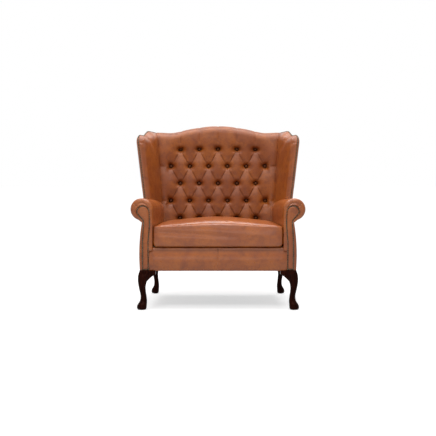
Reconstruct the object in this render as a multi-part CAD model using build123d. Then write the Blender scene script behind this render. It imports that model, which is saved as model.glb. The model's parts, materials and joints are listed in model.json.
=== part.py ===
from build123d import *
import math
import os

os.makedirs("parts", exist_ok=True)

# A winged, scroll-armed loveseat in button-tufted leather on carved cabriole legs.
# Millimetres. +Z up, front faces -Y, the sitter's sides are -X and +X, and the floor is Z = 0.
# Pieces named right lie on +X, and their left twins are mirrored across the plane X = 0.

# Heights
BASE_Z = 230.0  # underside of the wooden frame, on the legs
RAIL_TOP_Z = BASE_Z + 115.0  # top of the seat rails
DECK_Z = RAIL_TOP_Z + 21.0  # top of the seat deck, under the cushion
WIRE_TOP_Z = RAIL_TOP_Z + 6.4  # top of the seat springs
MIDDLE_Y = -7.15  # middle of the whole depth, where the pieces are centred when they are saved
SOFT_GAP = 0.3  # clearance around pieces that lie against each other

# Seat plan
FRONT_Y = -400.0  # front plane of the arms
SEAT_HALF = 379.0  # half width between the arms at the front plane
SIDE_TAPER = 0.054  # each side moves inwards by this much for 1 mm of depth
ARM_FALL = 0.05  # the arms fall by this much for 1 mm of depth

# Arms
ARM_PAD = 25.0  # padding on the inner face
ARM_WOOD = 34.0  # thickness of the front posts
ROLL_R = 65.0  # radius of the scrolled roll
ROLL_X = SEAT_HALF + ROLL_R
ROLL_Z = DECK_Z + 219.0
NECK_Z = ROLL_Z - 70.0  # where the roll springs from the outer panel
NECK_X = SEAT_HALF + 60.0  # outer face there
BELLY_X = SEAT_HALF + 76.0  # widest part of the outer panel
BELLY_Z = BASE_Z + 135.0
SKIRT_X = SEAT_HALF + 70.0  # outer face at the underside
ARM_SKIN = 12.0  # outer arm panel at the neck
POST_DEPTH = 50.0
POST_FACE_Y = -385.0  # front face of the posts and the front rail
RAIL_T = 28.0
SIDE_RAIL_T = 30.0
LINER_T = 20.0
LINER_LOW_Z = DECK_Z + 19.0
LINER_HIGH_Z = LINER_LOW_Z + 40.0
ARM_RAIL = (SEAT_HALF + 21.0, SEAT_HALF + 83.0, ROLL_Z - 15.0, ROLL_Z + 23.0)  # x and z limits of the arm's top rail
PANEL_REAR_Y = 300.0

# Scrolled facings on the arm fronts
FACE_HEAD_X = SEAT_HALF + 55.0
FACE_HEAD_Z = ROLL_Z - 19.0
FACE_HEAD_R = 44.0
FACE_FOOT = (SEAT_HALF + 21.0, SEAT_HALF + 63.5)  # x limits of the column at its foot
FACE_NECK = (SEAT_HALF + 13.0, SEAT_HALF + 52.0)  # x limits of the column under the head
FACE_NECK_Z = NECK_Z
FACE_WAIST_Z = (BASE_Z + FACE_NECK_Z) / 2 + 40.0  # where the column starts to lean to its neck
FACE_NAIL_INSET = 5.5
FACE_T = 8.0
FACE_REAR_Y = FRONT_Y + FACE_T / 2
POST_INSET = 7.0  # the post's head lies this far inside the facing

# Reclined back: s runs up the back, n runs forwards out of it
RAKE = 12.0
BACK_Y = 135.0  # front of the tufting at BACK_Z
BACK_Z = DECK_Z + 134.0
PAD_T = 95.0  # depth of the tufted padding
FRAME_N = -98.0  # front face of the back frame
FRAME_T = 45.0
OUTER_SKIN = 7.0  # outer back panel
CREST_Z = BACK_Z + 615.0  # top of the back at the middle
DIP_Z = CREST_Z - 44.0  # lowest part of its top edge
CREST_RUN = SEAT_HALF + 9.0  # from the middle to the dip
CREST_FALL = 28.0  # the wooden crest rail lies this far under the leather
CREST_RAIL_HALF = SEAT_HALF - 21.0
REAR_RAIL_HALF = SEAT_HALF - 27.0  # half length of the two rails between the uprights
ROLL_FRONT = 44.0  # the top roll starts this far under the top edge
ROLL_REAR = 16.0
CREST_N = 68.0  # the top edge is highest this far behind the front of the tufting
CREST_RAIL_S = 500.0
LOW_RAIL_S = (-112.0, -62.0)
WEB_TOP_S = 522.0
HESSIAN_HALF = SEAT_HALF - 53.0
PAD_HALF = SEAT_HALF + 51.0  # half width of the tufted padding, before the wings take their part
PAD_FLAT = SEAT_HALF - 34.0  # outside this its section stays the same
POST_TOP_S = 575.0
POST_WIDTH = 48.0
BACK_CORNER_S = 608.0  # outer corners of the outer back, by the tops of the wings
# lines up the back, as the distance outside the seat's half width and the height s
POST_LINE = ((19.0, -320.0), (19.0, -60.0), (-2.0, 100.0), (-3.0, 163.0), (24.0, POST_TOP_S))
BACK_LINE = ((33.0, -300.0), (36.0, -140.0), (21.0, -15.0), (14.0, 163.0), (39.0, 511.0), (45.0, BACK_CORNER_S))
BACK_NAIL_LINE = ((26.0, -234.0), (28.0, -140.0), (13.0, -15.0), (6.0, 163.0), (31.0, 511.0), (36.0, 590.0))

# Tufting
ROW_S = (472.3, 357.3, 242.3, 127.3, 12.3)  # button rows, from the top down
OUTER_COLUMN = 5  # the last column that has buttons
TUFT_MARGIN = 70.25  # from the outermost buttons to the seat's half width
COLUMN = (SEAT_HALF - TUFT_MARGIN) / OUTER_COLUMN  # half the distance between two buttons in a row
BUTTON_DEPTH = 42.0
PLEAT_DEPTH = 20.0
TOP_PLEAT = 9.0
SEAT_LENGTH = 16.0  # flat place under a button
POCKET_R = 11.5
BUTTON_R = 10.0
BUTTON_RISE = 8.0
TWINE_R = 0.9
HOLE_R = 1.3

# Wings, as slabs flared and tilted outwards
WING_CORNER = (SEAT_HALF + 94.2, -20.0, ROLL_Z + 75.0)  # outer front corner at the height of the arm
WING_FLARE = 13.0
WING_TILT = 0.12  # outward lean of the front edge
WING_T = 62.0
WING_SKIN = 14.0  # outer wing panel
WING_BOARD = 24.0  # thickness of the wooden wing frame
WING_POST = (14.0, 60.0)  # from the front edge
WING_RAIL_FALL = 26.0
WING_RAIL_H = 44.0
WING_LOW = -70.0
WING_NOSE = 52.0  # radius of the shoulder at the top of the front edge
WING_FLAT_H = 374.0
WING_RISE = 44.0  # height of the cyma step
WING_STEP = (96.0, 172.0)  # start and end of the step, from the front edge
WING_PEAK_H = WING_FLAT_H + WING_RISE
WING_BACK = 520.0
WING_NAIL_END_Y = 330.0

# Seat springs
WIRE_R = 1.9
SPRING_COUNT = 6
SPRING_PITCH = 110.0
BEND_R = 12.0
BAR = 34.0
CLIP = (24.0, 12.0)
REAR_RAIL_Y = 198.0
REAR_RAIL_T = 23.0

# Seat cushion
CUSHION_SIDE = 1.0  # from the arms on each side
CUSHION_FRONT_Y = -404.0
CUSHION_REAR_Y = 100.0
CUSHION_EDGE_Z = DECK_Z + 124.0
CROWN_Z = CUSHION_EDGE_Z + 33.0
CORE_WALL = 16.0
CUSHION_STATIONS = (0, 0.008, 0.018, 0.05, 0.11, 0.2, 0.32, 0.44, 0.56, 0.68, 0.8, 0.89, 0.95, 0.982, 0.992, 1)

# Legs
LEG_HALF = 29.0
FRONT_LEG = (SEAT_HALF + 40.5, FRONT_Y + 24.0)
REAR_LEG = (SEAT_HALF + 13.0, REAR_RAIL_Y + 7.0)
GLIDE_T = 3.0
BOLT_R = 4.0
REAR_BOLT = (SEAT_HALF + 3.0, REAR_LEG[1])
BLOCK_X = (SEAT_HALF + 41.0, SEAT_HALF + 17.0)  # corners that the front and rear glue blocks fill
BLOCK_SIZE = 76.0
BLOCK_Z = (BASE_Z + 22.0, BASE_Z + 70.0)
CENTRE_RAIL = (15.0, BASE_Z + 20.0, RAIL_TOP_Z - 13.0)  # half width, bottom and top
# height, half size, corner radius and diagonal offset of each section of a front leg
LEG_SECTIONS = (
    (BASE_Z, 29.0, 4.0, 0.0),
    (203.0, 30.0, 8.0, 4.0),
    (180.0, 28.5, 13.0, 12.0),
    (150.0, 22.0, 15.0, 16.0),
    (112.0, 15.5, 13.0, 14.5),
    (80.0, 14.0, 12.5, 12.5),
    (50.0, 17.0, 15.0, 14.0),
    (27.0, 27.0, 22.0, 21.0),
    (9.0, 27.5, 23.0, 21.5),
    (GLIDE_T, 24.5, 20.0, 21.0),
)
REAR_SLIM = 0.86  # a rear leg's thickness against a front leg's

# Nails
NAIL_R = 4.6
NAIL_RISE = 2.6
NAIL_PITCH = 10.4
SHANK_R = 0.9
SHANK_L = 6.2

SIN, COS = math.sin(math.radians(RAKE)), math.cos(math.radians(RAKE))
INNER_X = SEAT_HALF + ARM_PAD  # inner face of the posts at the front plane
OUTER_X = INNER_X + ARM_WOOD
REAR_N = FRAME_N - FRAME_T
HUGE = 900.0


def world(n, s, x=0.0):
    """A point of the reclined back, given forwards of it and up along it."""
    return Vector(x, BACK_Y + s * SIN - n * COS, BACK_Z + s * COS + n * SIN)


def back_plane(n):
    """The plane of the back at n: local x is X, local y runs up the back, local z backwards."""
    return Plane(world(n, 0.0), x_dir=(1, 0, 0), z_dir=(0, -COS, SIN))


def front_plane(y):
    """A plane across the loveseat: local x is X and local y is Z."""
    return Plane((0, y, 0), x_dir=(1, 0, 0), z_dir=(0, -1, 0))


def box(x0, x1, y0, y1, z0, z1):
    return Pos((x0 + x1) / 2, (y0 + y1) / 2, (z0 + z1) / 2) * Box(x1 - x0, y1 - y0, z1 - z0)


def face(*edges):
    return make_face(Wire(list(edges)).edges()).face()


def polygon(*points):
    return make_face(Polyline(*points, close=True)).face()


def run(shape, y0, y1, fall=0.0):
    """Extrudes a section, drawn as it is at the front plane, from y0 to y1 along the tapering side."""
    start = Vector(-SIDE_TAPER * (y0 - FRONT_Y), y0, -fall * (y0 - FRONT_Y))
    along = Vector(-SIDE_TAPER * (y1 - y0), y1 - y0, -fall * (y1 - y0))
    placed = Plane(start, x_dir=(1, 0, 0), z_dir=(0, -1, 0)) * shape
    return Solid.extrude(placed, along)


def slab(shape, n_front, n_rear):
    """Extrudes a shape drawn in the reclined plane between two depths."""
    return Solid.extrude(back_plane(n_front) * shape, Vector(0, COS, -SIN) * (n_front - n_rear))


def cut(shape, *tools):
    """Takes the tools away, and gives the result as one shape."""
    for tool in tools:
        shape = shape - tool
    return shape


def both(shape):
    return [shape, mirror(shape, about=Plane.YZ)]


def solids_of(shapes):
    found = []
    for shape in shapes if isinstance(shapes, (list, tuple)) else [shapes]:
        found += list(shape.solids())
    return found


def save(name, shapes):
    centred = Pos(0, -MIDDLE_Y, 0)
    export_step(Compound(children=[centred * Solid(s.wrapped) for s in solids_of(shapes)]), f"parts/{name}.step")


def save_pair(name, shape):
    right, left = both(shape)
    save(name + "_right", right)
    save(name + "_left", left)


# Half-space tools
UNDER_BASE = box(-HUGE, HUGE, -HUGE, HUGE, -HUGE, BASE_Z)
BEHIND_FRAME_FRONT = slab(Rectangle(2 * HUGE, 4 * HUGE).face(), FRAME_N, -HUGE)
BEHIND_FRAME_REAR = slab(Rectangle(2 * HUGE, 4 * HUGE).face(), REAR_N, -HUGE)


# The wooden frame
def crest_z(x):
    """Height of the back's top edge: a raised middle between two dips."""
    share = min(1.0, abs(x) / CREST_RUN)
    return DIP_Z + (CREST_Z - DIP_Z) * (1 + math.cos(math.pi * share)) / 2


def top_s(x):
    return (crest_z(x) - BACK_Z + CREST_N * SIN) / COS


def facing_outline(inset):
    """The keyhole outline of the scrolled arm front, drawn inset from its edge."""
    head = Pos(FACE_HEAD_X, FACE_HEAD_Z) * Circle(FACE_HEAD_R - inset)
    column = polygon(
        (FACE_FOOT[0] + inset, BASE_Z + inset),
        (FACE_FOOT[1] - inset, BASE_Z + inset),
        (FACE_FOOT[1] - inset, FACE_WAIST_Z),
        (FACE_NECK[1] - inset, FACE_NECK_Z),
        (FACE_HEAD_X + FACE_HEAD_R / 2, FACE_HEAD_Z),
        (FACE_HEAD_X - FACE_HEAD_R + inset, FACE_HEAD_Z),
        (FACE_NECK[0] + inset, FACE_NECK_Z),
        (FACE_FOOT[0] + inset, FACE_WAIST_Z),
    )
    return (head + column).face()


def arm_post():
    """Front post: a column from the leg to the scroll's round head."""
    head = Pos(FACE_HEAD_X, FACE_HEAD_Z) * Circle(FACE_HEAD_R - POST_INSET)
    column = polygon(
        (INNER_X, BASE_Z),
        (OUTER_X, BASE_Z),
        (OUTER_X, LINER_HIGH_Z),
        (NECK_X - ARM_SKIN, NECK_Z),
        (NECK_X - ARM_SKIN, FACE_HEAD_Z),
        (INNER_X, FACE_HEAD_Z),
    )
    return run((head + column).face(), POST_FACE_Y, POST_FACE_Y + POST_DEPTH)


def back_post():
    """Rear upright: one reclined board that leans outwards above the arm."""
    outer = [(SEAT_HALF + out, s) for out, s in POST_LINE]
    inner = [(x - POST_WIDTH, s) for x, s in reversed(outer)]
    return cut(slab(polygon(*outer, *inner), FRAME_N, REAR_N), UNDER_BASE)


post = arm_post()
upright = back_post()
posts = both(post)
uprights = both(upright)


def front_seat_rail():
    raw = box(-OUTER_X, OUTER_X, POST_FACE_Y, POST_FACE_Y + RAIL_T, BASE_Z, RAIL_TOP_Z)
    middle = cut(raw, *posts)
    return max(middle.solids(), key=lambda s: s.volume)


def rear_seat_rail():
    raw = box(-REAR_RAIL_HALF, REAR_RAIL_HALF, REAR_RAIL_Y, REAR_RAIL_Y + REAR_RAIL_T, BASE_Z, RAIL_TOP_Z)
    return cut(raw, *uprights)


def side_member(x0, x1, z0, z1, fall=0.0):
    """A rail from the front post back to the rear upright."""
    section = polygon((x0, z0), (x1, z0), (x1, z1), (x0, z1))
    raw = run(section, POST_FACE_Y + POST_DEPTH, PANEL_REAR_Y, fall)
    return cut(raw, BEHIND_FRAME_FRONT)


side_rail = side_member(INNER_X, INNER_X + SIDE_RAIL_T, BASE_Z, RAIL_TOP_Z)
liner_rail = side_member(INNER_X, INNER_X + LINER_T, LINER_LOW_Z, LINER_HIGH_Z)
arm_rail = side_member(ARM_RAIL[0], ARM_RAIL[1], ARM_RAIL[2], ARM_RAIL[3], ARM_FALL)


def crest_rail():
    """Shaped top rail between the uprights, under the leather's top edge."""
    reach = CREST_RAIL_HALF
    stations = [reach * k / 6 for k in range(-6, 7)]
    top = Spline([(x, top_s(x) - CREST_FALL) for x in stations])
    sides = Polyline(top @ 1, (reach, CREST_RAIL_S), (-reach, CREST_RAIL_S), top @ 0)
    return cut(slab(face(top, *sides.edges()), FRAME_N, REAR_N), *uprights)


def low_back_rail():
    half, (low, high) = REAR_RAIL_HALF, LOW_RAIL_S
    line = polygon((-half, low), (half, low), (half, high), (-half, high))
    return cut(slab(line, FRAME_N, REAR_N), *uprights)


def corner_block(x, y, inward):
    """Triangular glue block in a corner of the seat frame; inward is +1 at the front and -1 at the rear."""
    raw = Polyline((x, y), (x - BLOCK_SIZE, y), (x, y + inward * BLOCK_SIZE), close=True)
    return Pos(0, 0, BLOCK_Z[0]) * extrude(make_face(raw), BLOCK_Z[1] - BLOCK_Z[0], dir=(0, 0, 1))


front_rail = front_seat_rail()
rear_rail = rear_seat_rail()
crest = crest_rail()
low_rail = low_back_rail()
FRONT_RAIL_REAR_Y = POST_FACE_Y + RAIL_T


def corner_blocks():
    front = cut(corner_block(BLOCK_X[0], FRONT_RAIL_REAR_Y, 1), side_rail, post)
    rear = cut(corner_block(BLOCK_X[1], REAR_RAIL_Y, -1), side_rail, upright)
    keep = [max(part.solids(), key=lambda s: s.volume) for part in (front, rear)]
    return [twin for part in keep for twin in both(part)]


def centre_rail():
    half, z0, z1 = CENTRE_RAIL
    return box(-half, half, FRONT_RAIL_REAR_Y, REAR_RAIL_Y, z0, z1)


# Springs, webbing and deck
def spring_path():
    """Zigzag wire from the front clip to the rear one: straight bars joined by half turns."""
    y0 = POST_FACE_Y + RAIL_T / 2
    y1 = REAR_RAIL_Y + REAR_RAIL_T / 2
    bars = 2 * round((y1 - y0) / (4 * BEND_R))
    pitch = (y1 - y0) / bars
    edges = []
    for k in range(bars + 1):
        y = y0 + k * pitch
        way = 1 if k % 2 == 0 else -1
        a, b = (-way * BAR / 2, y), (way * BAR / 2, y)
        edges.append(Line(a, b))
        if k < bars:
            bulge = (way * (BAR / 2 + pitch / 2), y + pitch / 2)
            edges.append(ThreePointArc(b, bulge, (way * BAR / 2, y + pitch)))
    return Wire(edges), y0, y1


def seat_springs():
    path, y0, y1 = spring_path()
    wire = Pos(0, 0, WIRE_TOP_Z - WIRE_R) * path
    start = wire @ 0
    section = Plane(start, z_dir=wire % 0) * Circle(WIRE_R)
    one = sweep(section, path=wire).solid()
    first = -(SPRING_COUNT - 1) / 2 * SPRING_PITCH
    return [Pos(first + k * SPRING_PITCH, 0, 0) * one for k in range(SPRING_COUNT)]


def spring_clips():
    """Bent clips on the two rails, each with a channel for the end of a spring."""
    _, y0, y1 = spring_path()
    centre_z = WIRE_TOP_Z - WIRE_R
    first = -(SPRING_COUNT - 1) / 2 * SPRING_PITCH
    made = []
    for k in range(SPRING_COUNT):
        for y in (y0, y1):
            x = first + k * SPRING_PITCH
            raw = box(x - CLIP[0] / 2, x + CLIP[0] / 2, y - CLIP[1] / 2, y + CLIP[1] / 2, RAIL_TOP_Z, WIRE_TOP_Z)
            channel = Pos(x, y, centre_z) * Rot(0, 90, 0) * Cylinder(WIRE_R + 0.05, 2 * CLIP[0])
            slot = box(x - CLIP[0], x + CLIP[0], y - WIRE_R - 0.05, y + WIRE_R + 0.05, centre_z, DECK_Z)
            made += solids_of(cut(raw, channel, slot))
    return made


def seat_deck():
    """Felted deck over the springs, from the front border to the rear rail."""
    y0, y1 = POST_FACE_Y + 8, REAR_RAIL_Y - 8
    low = WIRE_TOP_Z + SOFT_GAP
    x0 = SEAT_HALF - SIDE_TAPER * (y0 - FRONT_Y) - SOFT_GAP
    x1 = SEAT_HALF - SIDE_TAPER * (y1 - FRONT_Y) - SOFT_GAP
    plan = Polyline((-x0, y0), (x0, y0), (x1, y1), (-x1, y1), close=True)
    slab_ = Pos(0, 0, low) * extrude(make_face(plan), DECK_Z - low, dir=(0, 0, 1))
    return cut(slab_, BEHIND_FRAME_FRONT)


def button_places():
    """Column and row of each button: odd rows have five and even rows six."""
    for row, s in enumerate(ROW_S):
        first = OUTER_COLUMN if row % 2 else OUTER_COLUMN - 1
        for column in range(-first, first + 1, 2):
            yield column * COLUMN, s


def normal_rods(radius, n_front, n_rear):
    """A rod along the back's normal at every button."""
    rods = []
    for x, s in button_places():
        disc = Pos(x, s) * Circle(radius)
        rods.append(slab(disc.face(), n_front, n_rear))
    return rods


def back_webbing():
    """Upright webs between the crest rail and the lower back rail."""
    strips = []
    for column in (-4, -2, 0, 2, 4):
        x = column * COLUMN
        line = polygon((x - 25, LOW_RAIL_S[0]), (x + 25, LOW_RAIL_S[0]), (x + 25, WEB_TOP_S), (x - 25, WEB_TOP_S))
        strips += solids_of(cut(slab(line, FRAME_N + 2, FRAME_N), *holes))
    return strips


def back_hessian():
    half, low, high = HESSIAN_HALF, LOW_RAIL_S[0], WEB_TOP_S
    line = polygon((-half, low), (half, low), (half, high), (-half, high))
    return cut(slab(line, FRAME_N + 3, FRAME_N + 2), *holes)


holes = normal_rods(HOLE_R, 20.0, FRAME_N - 4)


# Padding and leather
def arm_section():
    """Arm pad: the inner wall rising into the roll."""
    low = DECK_Z - 14.0
    wall = Line((SEAT_HALF, low - 80), (SEAT_HALF, ROLL_Z))
    over = ThreePointArc((SEAT_HALF, ROLL_Z), (ROLL_X, ROLL_Z + ROLL_R), (ROLL_X + ROLL_R, ROLL_Z))
    drop = math.radians(-80)
    last = (ROLL_X + ROLL_R * math.cos(drop), ROLL_Z + ROLL_R * math.sin(drop))
    half = math.radians(-35)
    mid = (ROLL_X + ROLL_R * math.cos(half), ROLL_Z + ROLL_R * math.sin(half))
    under = ThreePointArc((ROLL_X + ROLL_R, ROLL_Z), mid, last)
    shoulder = Polyline(last, (INNER_X, last[1]), (INNER_X, low - 80), (SEAT_HALF, low - 80))
    return face(wall, over, under, *shoulder.edges())


def arm_roll_tool(grow):
    """The roll's own cylinder, larger by a clearance, for what stands on the arm."""
    disc = Pos(ROLL_X, ROLL_Z) * Circle(ROLL_R + grow)
    return run(disc.face(), FRONT_Y - 20, PANEL_REAR_Y + 20, ARM_FALL)


def arm_pad():
    low = DECK_Z - 14.0
    raw = run(arm_section(), FACE_REAR_Y, PANEL_REAR_Y, ARM_FALL)
    below = box(-HUGE, HUGE, -HUGE, HUGE, -HUGE, low)
    return cut(raw, below, BEHIND_FRAME_REAR, post, arm_rail, liner_rail, low_rail, upright)


def outer_arm_section(y, fall):
    """Outer arm panel: padded, with a belly under the neck of the scroll."""
    dx = -SIDE_TAPER * (y - FRONT_Y)
    dz = -fall * (y - FRONT_Y)
    inner = NECK_X - ARM_SKIN
    points = [(inner, NECK_Z + dz), (OUTER_X, LINER_HIGH_Z + dz), (OUTER_X, BASE_Z)]
    points = [(x + dx, z) for x, z in points]
    wall = Polyline(*points)
    foot = Line(points[-1], (SKIRT_X + dx, BASE_Z))
    outer = ThreePointArc((SKIRT_X + dx, BASE_Z), (BELLY_X + dx, BELLY_Z), (NECK_X + dx, NECK_Z + dz))
    top = Line((NECK_X + dx, NECK_Z + dz), points[0])
    return front_plane(y) * face(*wall.edges(), foot, outer, top)


def outer_arm():
    sections = [outer_arm_section(FACE_REAR_Y, ARM_FALL), outer_arm_section(PANEL_REAR_Y, ARM_FALL)]
    raw = loft(sections, ruled=True)
    return cut(raw, BEHIND_FRAME_REAR, arm_roll_tool(0.0), arm_rail, post, upright)


def arm_facing():
    return run(facing_outline(0.0), FACE_REAR_Y - FACE_T, FACE_REAR_Y)


def front_border():
    """Padded front border: a bulged face with a lip over the rail."""
    z_top = DECK_Z
    crown = FRONT_Y - 11
    bulge = ThreePointArc((FRONT_Y, BASE_Z), (crown, (BASE_Z + z_top) / 2), (FRONT_Y - 2, z_top - 14))
    nose = ThreePointArc((FRONT_Y - 2, z_top - 14), (FRONT_Y + 2.5, z_top - 3.5), (FRONT_Y + 12, z_top))
    back = Polyline(
        nose @ 1,
        (POST_FACE_Y + 7, z_top),
        (POST_FACE_Y + 7, RAIL_TOP_Z),
        (POST_FACE_Y, RAIL_TOP_Z),
        (POST_FACE_Y, BASE_Z),
        (FRONT_Y, BASE_Z),
    )
    section = Plane.YZ * face(bulge, nose, *back.edges())
    reach = FACE_FOOT[0]
    raw = Pos(-reach, 0, 0) * Solid.extrude(section, Vector(2 * reach, 0, 0))
    return cut(raw, *posts, *both(facing), *both(arm_padding))


# Wing slabs
def wing_frame():
    """Origin and directions of a wing: backwards along it, up along it, and outwards."""
    flare = math.radians(WING_FLARE)
    forward = Vector(math.sin(flare), -math.cos(flare), 0)
    rise = Vector(WING_TILT, 0.015, 1).normalized()
    outward = (rise.cross(forward)).normalized()
    outward = outward if outward.X > 0 else outward * -1
    return Plane(Vector(*WING_CORNER), x_dir=forward * -1, z_dir=outward)


WING = wing_frame()


def wing_outline(inset, low):
    """Side view of a wing: a round shoulder, a flat, then a cyma step up to the back's corner."""
    flat, peak, nose = WING_FLAT_H - inset, WING_PEAK_H - inset, WING_NOSE - inset / 2
    c = math.cos(math.radians(45))
    front = Line((inset, low), (inset, flat - nose))
    shoulder = ThreePointArc(
        (inset, flat - nose), (inset + nose * (1 - c), flat - nose * (1 - c)), (inset + nose, flat)
    )
    a, b = WING_STEP
    mid = ((a + b) / 2, (flat + peak) / 2)
    level = Line((inset + nose, flat), (a, flat))
    dip = (mid[0] - (b - a) * 0.2, mid[1] - (peak - flat) * 0.36)
    hump = (mid[0] + (b - a) * 0.2, mid[1] + (peak - flat) * 0.36)
    step = [ThreePointArc((a, flat), dip, mid), ThreePointArc(mid, hump, (b, peak))]
    rest = Polyline((b, peak), (WING_BACK, peak), (WING_BACK, low), (inset, low))
    return face(front, shoulder, level, *step, *rest.edges())


def wing_layer(shape, w0, w1):
    """Extrudes a shape drawn on the wing between two depths, w running outwards."""
    start = Plane(WING.from_local_coords(Vector(0, 0, w0)), x_dir=WING.x_dir, z_dir=WING.z_dir)
    return Solid.extrude(start * shape, WING.z_dir * (w1 - w0))


def wing_boards():
    """Wooden post and top rail of the wing, in the middle of the slab."""
    w0, w1 = -WING_SKIN - WING_BOARD, -WING_SKIN
    top = WING_FLAT_H - WING_RAIL_FALL
    post_line = polygon(
        (WING_POST[0], WING_LOW - 30), (WING_POST[1], WING_LOW - 30), (WING_POST[1], top), (WING_POST[0] + 20, top), (WING_POST[0], top - 30)
    )
    rail_line = polygon(
        (WING_POST[1], top - WING_RAIL_H), (WING_BACK, top - WING_RAIL_H), (WING_BACK, top), (WING_POST[1], top)
    )
    upright_board = cut(wing_layer(post_line, w0, w1), arm_rail_shadow())
    rail_board = cut(wing_layer(rail_line, w0, w1), upright, BEHIND_FRAME_FRONT)
    return upright_board, rail_board


def arm_rail_shadow():
    """Everything under the arm rail's top face, which the wing's post stands on."""
    section = polygon((0, 0), (HUGE, 0), (HUGE, ARM_RAIL[3]), (0, ARM_RAIL[3]))
    return run(section, FRONT_Y, PANEL_REAR_Y, ARM_FALL)


wing_post, wing_rail = wing_boards()
arm_padding = cut(arm_pad(), wing_post)
facing = arm_facing()
outer_panel = outer_arm()
roll = arm_roll_tool(SOFT_GAP)
roll_wall = run(
    polygon((SEAT_HALF - SOFT_GAP, 0), (OUTER_X, 0), (OUTER_X, ROLL_Z), (SEAT_HALF - SOFT_GAP, ROLL_Z)),
    FRONT_Y - 20,
    PANEL_REAR_Y,
    ARM_FALL,
)


def inner_wing():
    raw = wing_layer(wing_outline(0.0, WING_LOW), -WING_T, -WING_SKIN)
    pad = cut(raw, BEHIND_FRAME_REAR, roll, roll_wall, arm_rail, wing_post, wing_rail, upright, outer_panel)
    return max(pad.solids(), key=lambda s: s.volume)


def outer_wing():
    raw = wing_layer(wing_outline(0.0, WING_LOW - 60), -WING_SKIN, 0.0)
    pad = cut(raw, BEHIND_FRAME_REAR, roll, arm_rail, upright, outer_panel)
    return max(pad.solids(), key=lambda s: s.volume)


wing_in = inner_wing()
wing_out = outer_wing()


def bulge_arc(a, b, apex):
    """An arc from a to b, both (n, s), whose middle lies at n = apex."""
    mid = (apex, (a[1] + b[1]) / 2)
    return a, mid, b


def tuft_station(x):
    """Upright section through the tufted back at x, as (n, s) arcs and lines in order."""
    column = abs(x) / COLUMN
    t = 1.0 if column >= OUTER_COLUMN else abs((column + 1) % 2 - 1)
    s1, s2, s3, s4, s5 = ROW_S
    cusps = [s1 + t * (s2 - s1), s3 + t * (s2 - s3), s3 + t * (s4 - s3), s5 + t * (s4 - s5)]
    depth = PLEAT_DEPTH + (BUTTON_DEPTH - PLEAT_DEPTH) * abs(2 * t - 1)
    for i in (0, 1, 2):
        short = SEAT_LENGTH - (cusps[i] - cusps[i + 1])
        if short > 0:
            cusps[i] += short / 2
            cusps[i + 1] -= short / 2
    full = s1 - s3
    top = top_s(x)
    lip = -TOP_PLEAT * (1 - t)
    nose = (lip, top - ROLL_FRONT)
    tail = (REAR_N, top - ROLL_REAR)
    points = [(-depth, c) for c in cusps]
    arcs = [(tail, (-PAD_T * 0.72, top + lip / 3), nose)]
    arcs.append(bulge_arc(nose, points[0], lip / 2 - 0.28 * depth))
    for a, b in zip(points, points[1:]):
        share = min(1.0, (a[1] - b[1]) / full)
        apex = -depth + 0.5 if a[1] - b[1] <= SEAT_LENGTH + 0.01 else -BUTTON_DEPTH * (1 - share) ** 2.5
        arcs.append(bulge_arc(a, b, apex))
    foot = (-6.0, -170.0)
    arcs.append(bulge_arc(points[-1], foot, 3.0))
    lines = [foot, (-PAD_T, -170.0), (-PAD_T, WEB_TOP_S), (REAR_N, WEB_TOP_S), tail]
    return arcs, lines


def tuft_wire(x):
    arcs, lines = tuft_station(x)
    edges = [ThreePointArc(*[world(n, s, x) for n, s in arc]) for arc in arcs]
    edges += [Line(world(*a, x), world(*b, x)) for a, b in zip(lines, lines[1:])]
    return Wire(edges)


def inside_back():
    """Tufted back: ruled panels between sections, so that every pleat runs straight from button to button."""
    stations = [k * COLUMN / 2 for k in range(-2 * OUTER_COLUMN, 2 * OUTER_COLUMN + 1)]
    stations = [-PAD_HALF, -PAD_FLAT] + stations + [PAD_FLAT, PAD_HALF]
    raw = Solid.make_loft([tuft_wire(x) for x in stations], ruled=True)
    under = box(-HUGE, HUGE, -HUGE, HUGE, -HUGE, DECK_Z + SOFT_GAP)
    outside = wing_layer(Rectangle(2 * HUGE, 2 * HUGE).face(), -WING_SKIN, HUGE)
    pad = cut(raw, under, crest, *both(outside))
    for tool in (upright, wing_in, wing_out, arm_padding, outer_panel, wing_rail, liner_rail, arm_rail):
        pad = cut(pad, *both(tool))
    pad = max(pad.solids(), key=lambda s: s.volume)
    pockets = normal_rods(POCKET_R, 20.0, -BUTTON_DEPTH - 2)
    return cut(pad, *pockets, *holes)


def back_buttons():
    """Covered buttons: a dome on a short skirt, on the floor of each pocket."""
    rise = Spline((0, BUTTON_RISE), (BUTTON_R * 0.7, BUTTON_RISE * 0.72), (BUTTON_R, 2), tangents=((1, 0), (0, -1)))
    outline = Polyline((BUTTON_R, 2), (BUTTON_R, 0), (0, 0), (0, BUTTON_RISE))
    half = make_face([rise, *outline.edges()])
    dome = revolve(Plane.XZ * half, Axis.Z)
    base = back_plane(-BUTTON_DEPTH - 2)
    return [Plane(base.from_local_coords(Vector(x, s, 0)), x_dir=(1, 0, 0), z_dir=base.z_dir) * dome for x, s in button_places()]


def tufting_twine():
    """Twines from the buttons through the padding, each knotted behind the webbing."""
    lines = normal_rods(TWINE_R, -BUTTON_DEPTH - 2, FRAME_N)
    knots = normal_rods(4.0, FRAME_N, FRAME_N - 3)
    return [(a + b).solid() for a, b in zip(lines, knots)]


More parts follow.
